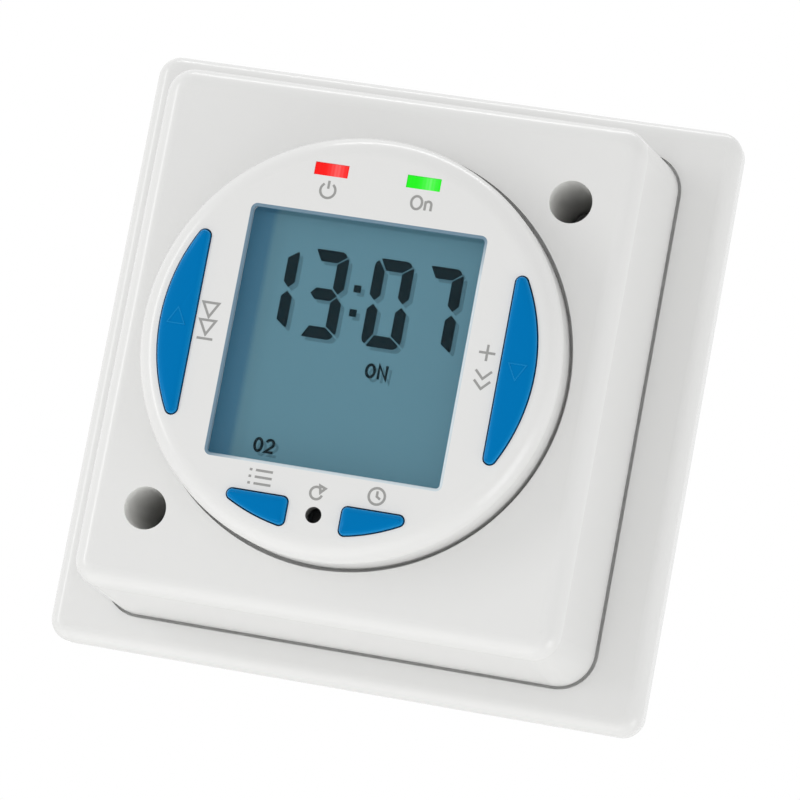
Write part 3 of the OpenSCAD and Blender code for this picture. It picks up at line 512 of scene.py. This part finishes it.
def finishes(colours, sizes):
    """One material for each slot of the record, by the slot's name, and for pieces that differ from it."""
    white, grey = tuple(colours.white), tuple(colours.grey)
    # Painted light: the walls of the screw wells are painted near-white to lift their shade
    painted_well_light = well_wall_light(sizes.well_at, sizes.well_r + 0.01 * MM), tone(252, 252, 250)
    reset = pin_hole(RESET_Z * MM, RESET_R * MM, sizes.dial_face), tone(132, 132, 129)
    # Painted highlight: the rounded rims of the keys are painted a lighter blue
    rim = key_rim_highlight(key_edge(sizes) * MM, sizes.key_round), tone(34, 150, 206)

    def shell(name, *painted_light_and_shade):
        return moulding(name, white, (0.2, 0.26), peel=900.0, depth=0.012, tint=0.985, painted_light_and_shade=painted_light_and_shade)

    def key(name, base, *painted_light_and_shade):
        return moulding(name, base, (0.24, 0.32), peel=1500.0, depth=0.03, tint=0.94,
                        glint=(0.03, 0.4, 0.85), painted_light_and_shade=painted_light_and_shade)

    return {
        "white_plastic": shell("white moulding"),
        "front_body": shell("white body moulding", painted_well_light),
        "dial_bezel": shell("white dial moulding", reset),
        "body_screws": metal("dull steel", tone(112, 112, 112), (0.5, 0.65)),
        "grey_plastic": textured("grey rear moulding", grey),
        "blue_plastic": key("blue key moulding", tuple(colours.blue), rim),
        # Painted highlight: the raised arrows are painted a lighter blue than the keys
        "blue_arrow": key("blue arrow painted highlight", tone(22, 131, 193)),
        "black_plastic": textured("black fitting", tone(38, 39, 40), (0.4, 0.55)),
        "switch_grey": textured("push switch body", tone(92, 94, 96), (0.35, 0.5)),
        "relay_blue": moulding("relay cover blue", tone(38, 84, 160), (0.25, 0.4), peel=900.0, depth=0.1,
                               tint=0.85),
        "film_yellow": moulding("capacitor box yellow", tone(222, 178, 48), (0.3, 0.42), peel=800.0,
                                depth=0.12, tint=0.9),
        "frame_white": textured("display frame white", tone(236, 236, 232), (0.4, 0.5)),
        "led_white": lacquered("lamp chip", tone(244, 236, 196), lump=900.0),
        "clear": clear_window("clear window"),
        "guide": milky("light guide", tone(226, 240, 240), alpha=0.55),
        "lcd": display_cell("display cell", tuple(colours.cell)),
        "red_lamp": lamp_window("red lamp window", tuple(colours.red), -LAMP_X * MM),
        "green_lamp": lamp_window("green lamp window", tuple(colours.green), LAMP_X * MM),
        "board": board_laminate("green laminate"),
        "strip_rubber": striped("contact strip", tone(190, 188, 180), tone(34, 34, 36), 1600.0, "X",
                                rough=0.6),
        "copper": striped("wound copper", tone(190, 104, 60), tone(122, 60, 34), 1300.0, "Y",
                          rough=0.3, share=0.35, coat=0.3),
        "resistor_tan": striped("banded resistor", tone(206, 170, 118), tone(96, 58, 34), 110.0, "X",
                                rough=0.35, share=0.72, coat=0.3),
        "can_sleeve": striped("capacitor sleeve", tone(30, 36, 62), tone(176, 180, 186), 40.0, "X",
                              rough=0.3, share=0.86, coat=0.4),
        "disc_blue": lacquered("dipped disc blue", tone(44, 88, 170)),
        "brass": metal("brass", tone(212, 176, 98)),
        "steel": metal("plated steel", tone(196, 198, 200)),
        "iron": metal("soft iron", tone(150, 152, 156), (0.3, 0.5)),
        "gold_pin": metal("gold plated pin", tone(224, 186, 96), (0.15, 0.3)),
        "figure": figure_film("display figures", tuple(colours.figure), alpha=0.98),
        # Painted shadow: a thin dark film under the figures, shifted right and down
        "figure_shade": figure_film("display figure shadow", tone(14, 62, 78), alpha=0.13),
        "ink": ink_film("grey print", tuple(colours.ink)),
        "rear_ink": ink_film("dark print", tone(70, 70, 70)),
        # Painted light: a pale highlight on the bevel's lower right, the display's blue on its upper left
        "bevel": clear_bevel("window bevel", pale=tone(206, 218, 224), deep=tone(104, 134, 154)),
    }


MADE = {}


def finish(*names):
    """The material of the first of these names that has one, made with the rest at the first call."""
    if not MADE:
        MADE.update(finishes(bpy.context.scene.switch_colours, bpy.context.scene.switch_sizes))
    return next(MADE[name] for name in names if name in MADE)


# Surfaces


def grid_faces(rows, columns, wrap=False):
    """Quads between the points of a grid, row by row; with wrap the last column joins the first."""
    r, c = np.meshgrid(np.arange(rows - 1), np.arange(columns if wrap else columns - 1), indexing="ij")
    n = (c + 1) % columns
    return np.stack([r * columns + c, r * columns + n, (r + 1) * columns + n, (r + 1) * columns + c],
                    -1).reshape(-1, 4)


def lift(plane, height):
    """Points of the dial's plane, across and up in millimetres, at a height over the wall, in metres."""
    plane = np.asarray(plane, float)
    high = np.broadcast_to(np.asarray(height, float), plane.shape[:-1])
    return np.stack([plane[..., 0], -high, plane[..., 1]], -1) * MM


def joined(parts):
    """Several (points, quads) put one after the other."""
    points = [p.reshape(-1, 3) for p, _ in parts]
    starts = np.cumsum([0] + [len(p) for p in points[:-1]])
    return np.concatenate(points), np.concatenate([q + s for (_, q), s in zip(parts, starts)])


def piece(name, points, quads, body, slot, look, crease=38.0):
    """A new mesh of points and quads: equal points are made one, faces are turned outwards, edges sharper
    than the crease stay sharp. It rides on a body and takes its finish."""
    mesh = bpy.data.meshes.new(name)
    mesh.from_pydata(points.reshape(-1, 3), [], quads)
    work = bmesh.new()
    work.from_mesh(mesh)
    bmesh.ops.remove_doubles(work, verts=work.verts, dist=1e-7)
    bmesh.ops.dissolve_degenerate(work, edges=work.edges, dist=1e-8)
    bmesh.ops.recalc_face_normals(work, faces=work.faces)
    work.to_mesh(mesh)
    work.free()
    mesh.shade_smooth()
    mesh.set_sharp_from_angle(angle=np.radians(crease))
    mesh.materials.append(finish(look))
    made = bpy.data.objects.new(name, mesh)
    bpy.context.scene.collection.objects.link(made)
    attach(made, body)
    return made


def arc(middle, radius, start, end, count):
    """Points on a circle, from one angle to another in degrees; two radii make it an ellipse."""
    a = np.radians(np.linspace(start, end, count))
    r = np.broadcast_to(radius, 2)
    return np.asarray(middle, float) + np.stack([np.cos(a) * r[0], np.sin(a) * r[1]], -1)


def circle(middle, radius, count):
    """Evenly spaced points round a whole circle or ellipse."""
    return arc(middle, radius, 0.0, 360.0, count + 1)[:-1]


def run(start, end, count):
    """Evenly spaced points on a straight line."""
    return np.linspace(start, end, count)


# Points along a round corner, a long side, a rounded edge, a stem and from side to side of a key
ROUND, LONG, EDGE, TURN, ACROSS = 9, 48, 7, 32, 15

# Keys

# Least radius of a tip, in millimetres
TIP_LEAST = 0.04
# Raised arrow on a side key, in millimetres: corners, middle, width of its line and depth in the key
ARROW = np.array([(-1.2, -0.75), (1.2, -0.75), (0.0, 1.45)])
ARROW_Z, ARROW_LINE, ARROW_SUNK = 0.2, 0.15, 0.12


def key_top(sizes):
    """Height of the top of a key's crown over the wall, in millimetres."""
    return sizes.key_face / MM - sizes.arrow_rise / MM - HAIR


def key_edge(sizes):
    """Height of the foot of a key's crown over the wall, in millimetres."""
    return key_top(sizes) - sizes.key_crown / MM


def crescent(gap, edge=21.2, reach=25.8, tip=0.8):
    """The two sides of a side key, gap millimetres inside its outline, both from the lower tip to the upper
    one: a straight side at x = edge, and an arc of radius reach about the dial's middle. A circle that
    touches both rounds each tip, and the sides part halfway along it."""
    e, r, t = edge + gap, reach - gap, max(tip - gap, TIP_LEAST)
    high = np.sqrt((r - t) ** 2 - (e + t) ** 2)
    lean = np.degrees(np.arctan2(high, e + t))
    half = (180.0 + lean) / 2.0
    low, top = (e + t, -high), (e + t, high)
    straight = np.concatenate([arc(low, t, -half, -180.0, ROUND), run((e, -high), (e, high), LONG),
                               arc(top, t, 180.0, half, ROUND)])
    curved = np.concatenate([arc(low, t, -half, -lean, ROUND), arc((0, 0), r, -lean, lean, LONG),
                             arc(top, t, lean, half, ROUND)])
    return straight, curved


def wedge(gap, end=3.8, edge=21.3, reach=25.5, tip=0.7):
    """The two sides of a small key, from its outer tip to its lower inner corner: along the straight upper
    edge and down the inner end, and along the arc of radius reach about the dial's middle. Circles that
    touch both neighbours round the three corners."""
    a, e, r, t = end + gap, edge + gap, reach - gap, max(tip - gap, TIP_LEAST)
    outer = (np.sqrt((r - t) ** 2 - (e + t) ** 2), e + t)
    inner, foot = (a + t, e + t), (a + t, np.sqrt((r - t) ** 2 - (a + t) ** 2))
    lean, stand = (np.degrees(np.arctan2(p[1], p[0])) for p in (outer, foot))
    nose, heel = (lean - 90.0) / 2.0, (180.0 + stand) / 2.0
    straight = np.concatenate([arc(outer, t, nose, -90.0, ROUND), run((outer[0], e), (a + t, e), LONG),
                               arc(inner, t, -90.0, -180.0, ROUND), run((a, e + t), (a, foot[1]), LONG),
                               arc(foot, t, 180.0, heel, ROUND)])
    curved = np.concatenate([arc(outer, t, nose, lean, ROUND),
                             arc((0, 0), r, lean, stand, 2 * LONG + ROUND), arc(foot, t, stand, heel, ROUND)])
    return straight * (1, -1), curved * (1, -1)


def key_surface(sides, sizes, stem_at, mirror):
    """A key: its outline is carried up a profile of (inset, height): flange, step, wall and rounded edge.
    Across the top the two sides are blended, v from 0 to 1, and raised by crown * (4 v (1 - v)) ** 0.6. A
    flat foot and a round stem close it below."""
    crown, rnd, edge = sizes.key_crown / MM, sizes.key_round / MM, key_edge(sizes)
    turn = np.linspace(0.0, np.pi / 2, EDGE)
    inset = np.concatenate([[-FLANGE_OUT, -FLANGE_OUT, 0.0], rnd * (1.0 - np.cos(turn))])
    height = np.concatenate([[FLANGE_LOW, FLANGE_HIGH, FLANGE_HIGH], edge - rnd + rnd * np.sin(turn)])
    pairs = [sides(float(gap)) for gap in inset]
    rings = np.stack([np.concatenate([one, two[-2:0:-1]]) for one, two in pairs])
    walls = lift(rings, height[:, None]), grid_faces(*rings.shape[:2], wrap=True)

    def web(gap, level, rise):
        one, two = sides(gap)
        v = np.linspace(0.0, 1.0, ACROSS)[:, None, None]
        flat = one + (two - one) * v
        up = level + rise * (4.0 * v * (1.0 - v))[..., 0] ** 0.6
        return lift(flat, np.broadcast_to(up, flat.shape[:2])), grid_faces(*flat.shape[:2])

    turned, foot = circle(stem_at, STEM_R, TURN), sizes.key_stem / MM
    point = np.asarray(stem_at) + (turned - stem_at) * 0.001
    spin = np.stack([point, turned, turned])
    stem = lift(spin, np.array([foot, foot, STEM_TOP])[:, None]), grid_faces(*spin.shape[:2], wrap=True)
    points, quads = joined([walls, web(float(inset[-1]), edge, crown), web(-FLANGE_OUT, FLANGE_LOW, 0.0),
                            stem])
    return points * ((-1, 1, 1) if mirror else (1, 1, 1)), quads


def ribbon(path, width, low, high, closed=False):
    """A flat band carried along a path in the dial's plane: at each point the band's two edges lie half its
    width to either side, along the mean normal of the two legs that meet there, lengthened at a bend by
    the cosine of half its angle, which is not let under 0.45."""
    path = np.asarray(path, float)
    if closed:
        legs = np.roll(path, -1, 0) - path
        before, after = np.roll(legs, 1, 0), legs
    else:
        legs = np.diff(path, axis=0)
        before, after = np.concatenate([legs[:1], legs]), np.concatenate([legs, legs[-1:]])
    before, after = (v / np.linalg.norm(v, axis=1, keepdims=True) for v in (before, after))
    mean = before + after
    mean /= np.linalg.norm(mean, axis=1, keepdims=True)
    normal = np.stack([-mean[:, 1], mean[:, 0]], -1)
    reach = width / 2.0 / np.maximum((mean * after).sum(1, keepdims=True), 0.45)
    left, right = path + normal * reach, path - normal * reach
    flat = np.stack([left, left, right, right], 0)
    points = lift(flat, np.array([low, high, high, low])[:, None])
    count = len(path)
    quads = grid_faces(4, count, wrap=closed)
    under = grid_faces(2, count, wrap=closed)
    under = np.where(under >= count, under - count, under + 3 * count)
    ends = [] if closed else [[0, count, 2 * count, 3 * count],
                              [4 * count - 1, 3 * count - 1, 2 * count - 1, count - 1]]
    return points.reshape(-1, 3), np.concatenate([quads, under, np.array(ends, int).reshape(-1, 4)])


class SWITCH_OT_keys(bpy.types.Operator):
    """Makes the four blue keys and the raised arrows on the two side keys"""

    bl_idname = "timer_switch.keys"
    bl_label = "Keys"

    def execute(self, context):
        sizes = context.scene.switch_sizes
        side, small = (SIDE_KEY_X, 0.0), (SMALL_KEY_X, SMALL_KEY_Z)
        for key, sides, stem_at, mirror in (("override", crescent, side, True),
                                            ("boost", crescent, side, False),
                                            ("program", wedge, small, True),
                                            ("time", wedge, small, False)):
            made = piece(f"{key}_key", *key_surface(sides, sizes, stem_at, mirror), f"{key}_key",
                         "blue_plastic", "blue_plastic")
            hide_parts(f"{key}_button")
        top = key_top(sizes)
        low, high = top - ARROW_SUNK, top + sizes.arrow_rise / MM - HAIR
        for key, across, way in (("override", -SIDE_KEY_X, 1), ("boost", SIDE_KEY_X, -1)):
            corners = ARROW * (1, way)
            legs = [run(corners[i], corners[(i + 1) % 3], 8)[:-1] for i in range(3)]
            outline = np.concatenate(legs) + (across, ARROW_Z)
            piece(f"{key}_arrow", *ribbon(outline, ARROW_LINE, low, high, True), f"{key}_key",
                  "blue_plastic", "blue_arrow")
        return {"FINISHED"}


# Window and display

# Corners of a figure's segments, down from its upper left, and its width, in units of its height. They
# are drawn on a figure 339 high.
SEGMENTS = {letter: np.array(corners) / 339.0 for letter, corners in (
    ("a", [(22, 2), (30, 0), (78, 0), (124, 0), (137, 6), (144, 18), (109, 45), (46, 45)]),
    ("b", [(110, 50), (148, 23), (152, 29), (153, 36), (153, 90), (153, 141), (131, 163), (110, 141)]),
    ("f", [(0, 80), (0, 30), (5, 16), (15, 9), (42, 50), (42, 141), (21, 163), (0, 141)]),
    ("g", [(27, 170), (47, 147), (77, 147), (107, 147), (130, 170), (107, 192), (77, 192), (47, 192)]),
)}
FIGURE_W = 0.4513
# Upper edge of the large figures, half side and places of the two dots, line of the small figures, and
# heights over the cell between which the figures and their shadows lie, in millimetres
FIGURES_TOP = 12.89
DOT_HALF, DOT_X, DOTS_Z = 0.5, -0.55, (8.25, 4.93)
SMALL_LINE = 0.38
FIGURE_FILM, SHADOW_FILM = (0.045, 0.075), (0.004, 0.02)
# Height of the window bevel's rim over the dial and least radius of its corners, in millimetres
BEVEL_PROUD, BEVEL_LEAST_R = 0.004, 0.3


def segment(letter):
    """One of the seven segments of a figure: c, d and e are b, a and f turned upside down."""
    if letter in SEGMENTS:
        return SEGMENTS[letter]
    return SEGMENTS[{"c": "b", "d": "a", "e": "f"}[letter]] * (1, -1) + (0, 1)


def slabs(outlines, low, high):
    """Flat tiles: each outline of eight points at two heights, with its walls, and with each of its two
    faces cut into three quads."""
    outlines = np.asarray(outlines, float)
    count, corners = outlines.shape[:2]
    points = np.stack([lift(outlines, low), lift(outlines, high)], 1)
    i = np.arange(corners)
    n = (i + 1) % corners
    walls = np.stack([i, n, n + corners, i + corners], -1)
    cap = np.array([(0, 1, 2, 3), (0, 3, 4, 7), (4, 5, 6, 7)])
    one = np.concatenate([walls, cap, cap[:, ::-1] + corners])
    return points.reshape(-1, 3), (one[None] + (np.arange(count) * 2 * corners)[:, None, None]).reshape(-1, 4)


def figure_outlines(height):
    """The large figures 13:07: the segments of each figure, placed by its right edge, and the two square
    dots between them."""
    tiles = []
    for right, letters in ((-9.25, "bc"), (-2.36, "abcdg"), (6.68, "abcdef"), (13.57, "abc")):
        corner = (right - FIGURE_W * height, FIGURES_TOP)
        tiles += [segment(letter) * (height, -height) + corner for letter in letters]
    dot = np.array([(-1, -1), (0, -1), (1, -1), (1, 0), (1, 1), (0, 1), (-1, 1), (-1, 0)]) * DOT_HALF
    tiles += [dot + (DOT_X, z) for z in DOTS_Z]
    return np.stack(tiles)


def small_figures():
    """Paths of the small display marks: the word ON and the day number 02."""
    letter_o = circle((3.32, -2.44), (0.56, 0.84), 32)
    letter_n = np.array([(4.47, -3.42), (4.47, -1.55), (5.52, -3.33), (5.52, -1.46)])
    zero = circle((-9.95, -14.6), (0.5, 0.84), 32)
    two = np.concatenate([arc((-8.35, -14.28), (0.5, 0.52), 165, -35, 15),
                          [(-8.88, -15.43), (-7.8, -15.43)]])
    return [(letter_o, True), (letter_n, False), (zero, True), (two, False)]


def rounded_path(width, height, radius):
    """A rectangle with round corners, anticlockwise, as one closed path."""
    x, z = width / 2.0 - radius, height / 2.0 - radius
    return np.concatenate([arc((sx * x, sz * z), radius, start, start + 90.0, ROUND)
                           for sx, sz, start in ((1, 1, 0), (-1, 1, 90), (-1, -1, 180), (1, -1, 270))])


class SWITCH_OT_display(bpy.types.Operator):
    """Makes the display figures with their shadows, and the bevel round the window"""

    bl_idname = "timer_switch.display"
    bl_label = "Display"

    def execute(self, context):
        sizes = context.scene.switch_sizes
        tall, shift = sizes.digit_h / MM, np.array((sizes.shade_x, -sizes.shade_z)) / MM
        # The second film is a painted shadow of the figures on the cell
        for name, move, film, look in (("display_figures", 0.0, FIGURE_FILM, "figure"),
                                       ("display_shadow", shift, SHADOW_FILM, "figure_shade")):
            low, high = (sizes.cell_face / MM + level for level in film)
            parts = [slabs(figure_outlines(tall) + move, low, high)]
            parts += [ribbon(path + move, SMALL_LINE, low, high, closed) for path, closed in small_figures()]
            piece(name, *joined(parts), "switch", "lcd", look)
        turn = np.linspace(0.0, np.pi / 2, EDGE)
        wide, deep = sizes.bevel / MM, (sizes.dial_face - sizes.glass_face) / MM
        foot = deep + 2.0 * HAIR
        inset = np.concatenate([[-HAIR], wide * np.sin(turn), [wide, -HAIR]])
        drop = np.concatenate([[HAIR], deep * (1.0 - np.cos(turn)), [foot, foot]])
        rings = np.stack([rounded_path(WINDOW_W - 2 * i, WINDOW_H - 2 * i,
                                       max(WINDOW_CORNER - i, BEVEL_LEAST_R)) for i in inset])
        high = sizes.dial_face / MM + BEVEL_PROUD - drop
        points = lift(rings, high[:, None])
        closed = np.concatenate([points, points[:1]])
        piece("window_bevel", closed, grid_faces(*closed.shape[:2], wrap=True), "switch", "clear", "bevel")
        return {"FINISHED"}


# Print

# Each sign is a list of paths about its own middle, in millimetres, and whether each path is closed


def power_mark():
    """A broken ring with an upright bar in its gap."""
    return [(arc((0, 0), 0.86, 125, 415, 40), False), (run((0, 0.2), (0, 1.12), 4), False)]


def on_mark():
    """The word On: a ring, and an upright with an arch."""
    arch = np.concatenate([[(1.72, -1.0)], [(1.72, -0.2)], arc((1.26, -0.1), (0.46, 0.5), 0, 150, 12)])
    return [(circle((0, 0), (0.82, 0.98), 40) - (0.75, 0), True),
            (run((0.8, -1.0), (0.8, 0.42), 4) - (0.2, 0), False), (arch - (0.2, 0), False)]


def skip_mark():
    """Two arrowheads and a bar, read downwards."""
    head = np.array([(-0.85, 0.0), (0.85, 0.0), (0.0, -1.5)])
    return [(head + (0, 2.2), True), (head + (0, 0.35), True), (run((-0.85, -1.6), (0.85, -1.6), 4), False)]


def boost_mark():
    """A plus sign over two chevrons, read downwards."""
    chevron = np.array([(-0.85, 0.4), (0.0, -0.45), (0.85, 0.4)])
    return [(run((-0.85, 1.7), (0.85, 1.7), 4), False), (run((0, 0.85), (0, 2.55), 4), False),
            (chevron + (0, -0.55), False), (chevron + (0, -1.6), False)]


def list_mark():
    """Three rows, each a dot and a line."""
    rows = []
    for z in (-0.78, 0.0, 0.78):
        rows += [(run((-1.4, z), (-1.08, z), 3), False), (run((-0.65, z), (1.4, z), 4), False)]
    return rows


def turn_mark():
    """An open ring that ends in an arrowhead."""
    head = np.array([(0.3, 0.92), (0.98, 0.66), (0.46, 0.12)])
    return [(arc((0, 0), 0.72, 60, 345, 32), False), (head, True)]


def clock_mark():
    """A ring with two hands."""
    hands = np.array([(0.0, 0.6), (0.0, -0.02), (0.44, -0.3)])
    return [(circle((0, 0), 0.95, 40), True), (hands, False)]


# Each sign's place on the dial, in millimetres, and how much it is enlarged
SIGNS = ((power_mark, (-6.4, 20.4), 1.2), (on_mark, (6.6, 20.5), 0.9), (skip_mark, (-19.3, 0.1), 1.3),
         (boost_mark, (19.1, -0.3), 1.3), (list_mark, (-8.1, -19.25), 1.15),
         (turn_mark, (-0.15, -20.1), 1.15), (clock_mark, (8.0, -19.25), 1.15))
# Paths of the terminals' numbers 1 to 4
NUMERALS = (
    [(-0.45, 0.75), (0.0, 1.2), (0.0, -1.2)],
    [(-0.7, 0.7), (-0.35, 1.15), (0.35, 1.15), (0.7, 0.7), (0.55, 0.1), (-0.7, -1.15), (0.75, -1.15)],
    [(-0.7, 1.15), (0.7, 1.15), (0.0, 0.25), (0.5, 0.1), (0.72, -0.4), (0.45, -0.95), (-0.1, -1.15),
     (-0.7, -0.9)],
    [(0.75, -0.45), (-0.8, -0.45), (0.35, 1.2), (0.35, -1.2)],
)
# Height of the numbers' middle, width of their line, radius and line of the rings, in millimetres
NUMERAL_Z, NUMERAL_LINE, RING_R, RING_LINE = -14.2, 0.35, 3.55, 0.2
# Steps in height by which crossing lines of print are kept apart, in millimetres
PRINT_STEP = 0.002


class SWITCH_OT_print(bpy.types.Operator):
    """Makes the grey marks on the dial and the terminal numbers on the back"""

    bl_idname = "timer_switch.print"
    bl_label = "Print"

    def execute(self, context):
        sizes = context.scene.switch_sizes
        face, wide, rise = sizes.dial_face / MM, sizes.print_w / MM, sizes.print_rise / MM
        marks = [(path * grow + at, closed) for sign, at, grow in SIGNS for path, closed in sign()]
        bands = [ribbon(path, wide, face - HAIR, face + rise + PRINT_STEP * (i % 3), closed)
                 for i, (path, closed) in enumerate(marks)]
        piece("dial_print", *joined(bands), "switch", "grey_plastic", "ink")
        rear = back_of("terminal_housing")
        low, high = rear + HAIR, rear - rise
        bands = []
        for x, shape in zip(TERMINALS_X, NUMERALS):
            bands.append(ribbon(np.array(shape) * (-1, 1) + (x, NUMERAL_Z), NUMERAL_LINE, low, high))
            bands.append(ribbon(circle((x, TERMINAL_Z), RING_R, 48), RING_LINE, low, high, True))
        piece("terminal_print", *joined(bands), "switch", "grey_plastic", "rear_ink")
        return {"FINISHED"}


class SWITCH_OT_fittings(bpy.types.Operator):
    """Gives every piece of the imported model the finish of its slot"""

    bl_idname = "timer_switch.fittings"
    bl_label = "Finishes of the model"

    def execute(self, context):
        for part in frame["record"]["subparts"]:
            node = frame["nodes"][part["node"]]
            for place in node.material_slots:
                place.material = finish(part["node"], part["material_slot"])
        return {"FINISHED"}


# Stage

# Lamps that look at the middle of the part: place, width and height in metres, power in watts
LAMPS = (
    ("left strip", (-0.95, -0.66, 0.1), 0.1, 0.9, 2.5),
    ("top strip", (-0.1, 0.15, 1.0), 0.9, 0.05, 2.0),
    ("low", (-0.1, -0.15, -0.55), 0.9, 0.6, 1.0),
    ("low right", (0.8, -0.2, -0.45), 0.5, 0.5, 1.7),
)
# Strength of the soft light from all round
FILL = 0.81
# Height of the floor, half its side, in metres, and points along its side
FLOOR_Z, FLOOR_HALF, FLOOR_POINTS = -0.6, 3.0, 13


class SWITCH_OT_stage(bpy.types.Operator):
    """Makes the floor, the lamps, the white surround and the camera"""

    bl_idname = "timer_switch.stage"
    bl_label = "Stage"

    def lamp(self, scene, name, at, across, up, power):
        data = bpy.data.lights.new(name, "AREA")
        data.shape, data.size, data.size_y, data.energy = "RECTANGLE", across, up, power
        made = bpy.data.objects.new(name, data)
        made.location = at
        made.rotation_mode = "QUATERNION"
        made.rotation_quaternion = (-made.location).to_track_quat("-Z", "Y")
        scene.collection.objects.link(made)

    def floor(self, scene):
        mesh = bpy.data.meshes.new("floor")
        side = np.linspace(-FLOOR_HALF, FLOOR_HALF, FLOOR_POINTS)
        x, y = np.meshgrid(side, side, indexing="ij")
        points = np.stack([x, y, np.full_like(x, FLOOR_Z)], -1).reshape(-1, 3)
        mesh.from_pydata(points, [], grid_faces(*x.shape)[:, ::-1])
        f = Finish.named("pale floor")
        grain = f.noise(f.where(), 30.0, 4.0)
        mesh.materials.append(f.surface({
            "Base Color": f.blend(grain, tone(240, 240, 239), tone(234, 234, 233)),
            "Roughness": 0.7 + grain * 0.1,
        }))
        made = bpy.data.objects.new("floor", mesh)
        scene.collection.objects.link(made)

    def surround(self, scene):
        """White to the camera, in reflections and through glass; a plain soft light to everything else."""
        scene.world = bpy.data.worlds.new("studio")
        f = Finish(scene.world)
        seen = [f.node("ShaderNodeLightPath", output=way)
                for way in ("Is Camera Ray", "Is Glossy Ray", "Is Transmission Ray")]
        plain = f.node("ShaderNodeBackground", {}, {"Color": (1.0, 1.0, 1.0), "Strength": FILL})
        white = f.node("ShaderNodeBackground", {}, {"Color": (1.0, 1.0, 1.0), "Strength": 1.0})
        both = f.node("ShaderNodeMixShader", {}, [seen[0].most(seen[1]).most(seen[2]), plain, white])
        f.node("ShaderNodeOutputWorld", {}, {"Surface": both})

    def camera(self, scene):
        data = bpy.data.cameras.new("camera")
        data.lens, data.sensor_width, data.sensor_fit = 176.86, 36.0, "HORIZONTAL"
        data.clip_start, data.clip_end = 0.01, 20.0
        right = (0.9637438614, 0.1939900506, 0.1832092514)
        down = (0.1515443641, 0.1671936634, -0.9742076702)
        ahead = (-0.2196180212, 0.9666509914, 0.1317337679)
        at = (0.122895, -0.539229, -0.074597)
        made = bpy.data.objects.new("camera", data)
        rows = [(right[i], -down[i], -ahead[i], at[i]) for i in range(3)]
        made.matrix_world = Matrix(rows + [(0, 0, 0, 1)])
        scene.collection.objects.link(made)
        scene.camera = made

    def execute(self, context):
        scene = context.scene
        self.floor(scene)
        self.surround(scene)
        for lamp in LAMPS:
            self.lamp(scene, *lamp)
        self.camera(scene)
        scene.view_settings.view_transform = "Standard"
        return {"FINISHED"}


class SWITCH_PT_panel(bpy.types.Panel):
    """Lists the steps that dress the timer switch, and its settings"""

    bl_label = "Timer switch"
    bl_idname = "SWITCH_PT_panel"
    bl_space_type = "VIEW_3D"
    bl_region_type = "UI"
    bl_category = "Timer switch"

    def draw(self, context):
        for step in STEPS:
            self.layout.operator(step.bl_idname)
        for group in (context.scene.switch_sizes, context.scene.switch_colours):
            box = self.layout.box()
            for name in group.bl_rna.properties.keys():
                if name not in ("rna_type", "name"):
                    box.prop(group, name)


STEPS = (SWITCH_OT_fittings, SWITCH_OT_keys, SWITCH_OT_display, SWITCH_OT_print, SWITCH_OT_stage)
CLASSES = (SwitchSizes, SwitchColours, *STEPS, SWITCH_PT_panel)


def register():
    for one in CLASSES:
        bpy.utils.register_class(one)
    bpy.types.Scene.switch_sizes = PointerProperty(type=SwitchSizes)
    bpy.types.Scene.switch_colours = PointerProperty(type=SwitchColours)


def unregister():
    del bpy.types.Scene.switch_colours
    del bpy.types.Scene.switch_sizes
    for one in reversed(CLASSES):
        bpy.utils.unregister_class(one)


def main():
    register()
    bpy.ops.timer_switch.fittings()
    bpy.ops.timer_switch.keys()
    bpy.ops.timer_switch.display()
    bpy.ops.timer_switch.print()
    bpy.ops.timer_switch.stage()


if __name__ == "__main__":
    main()
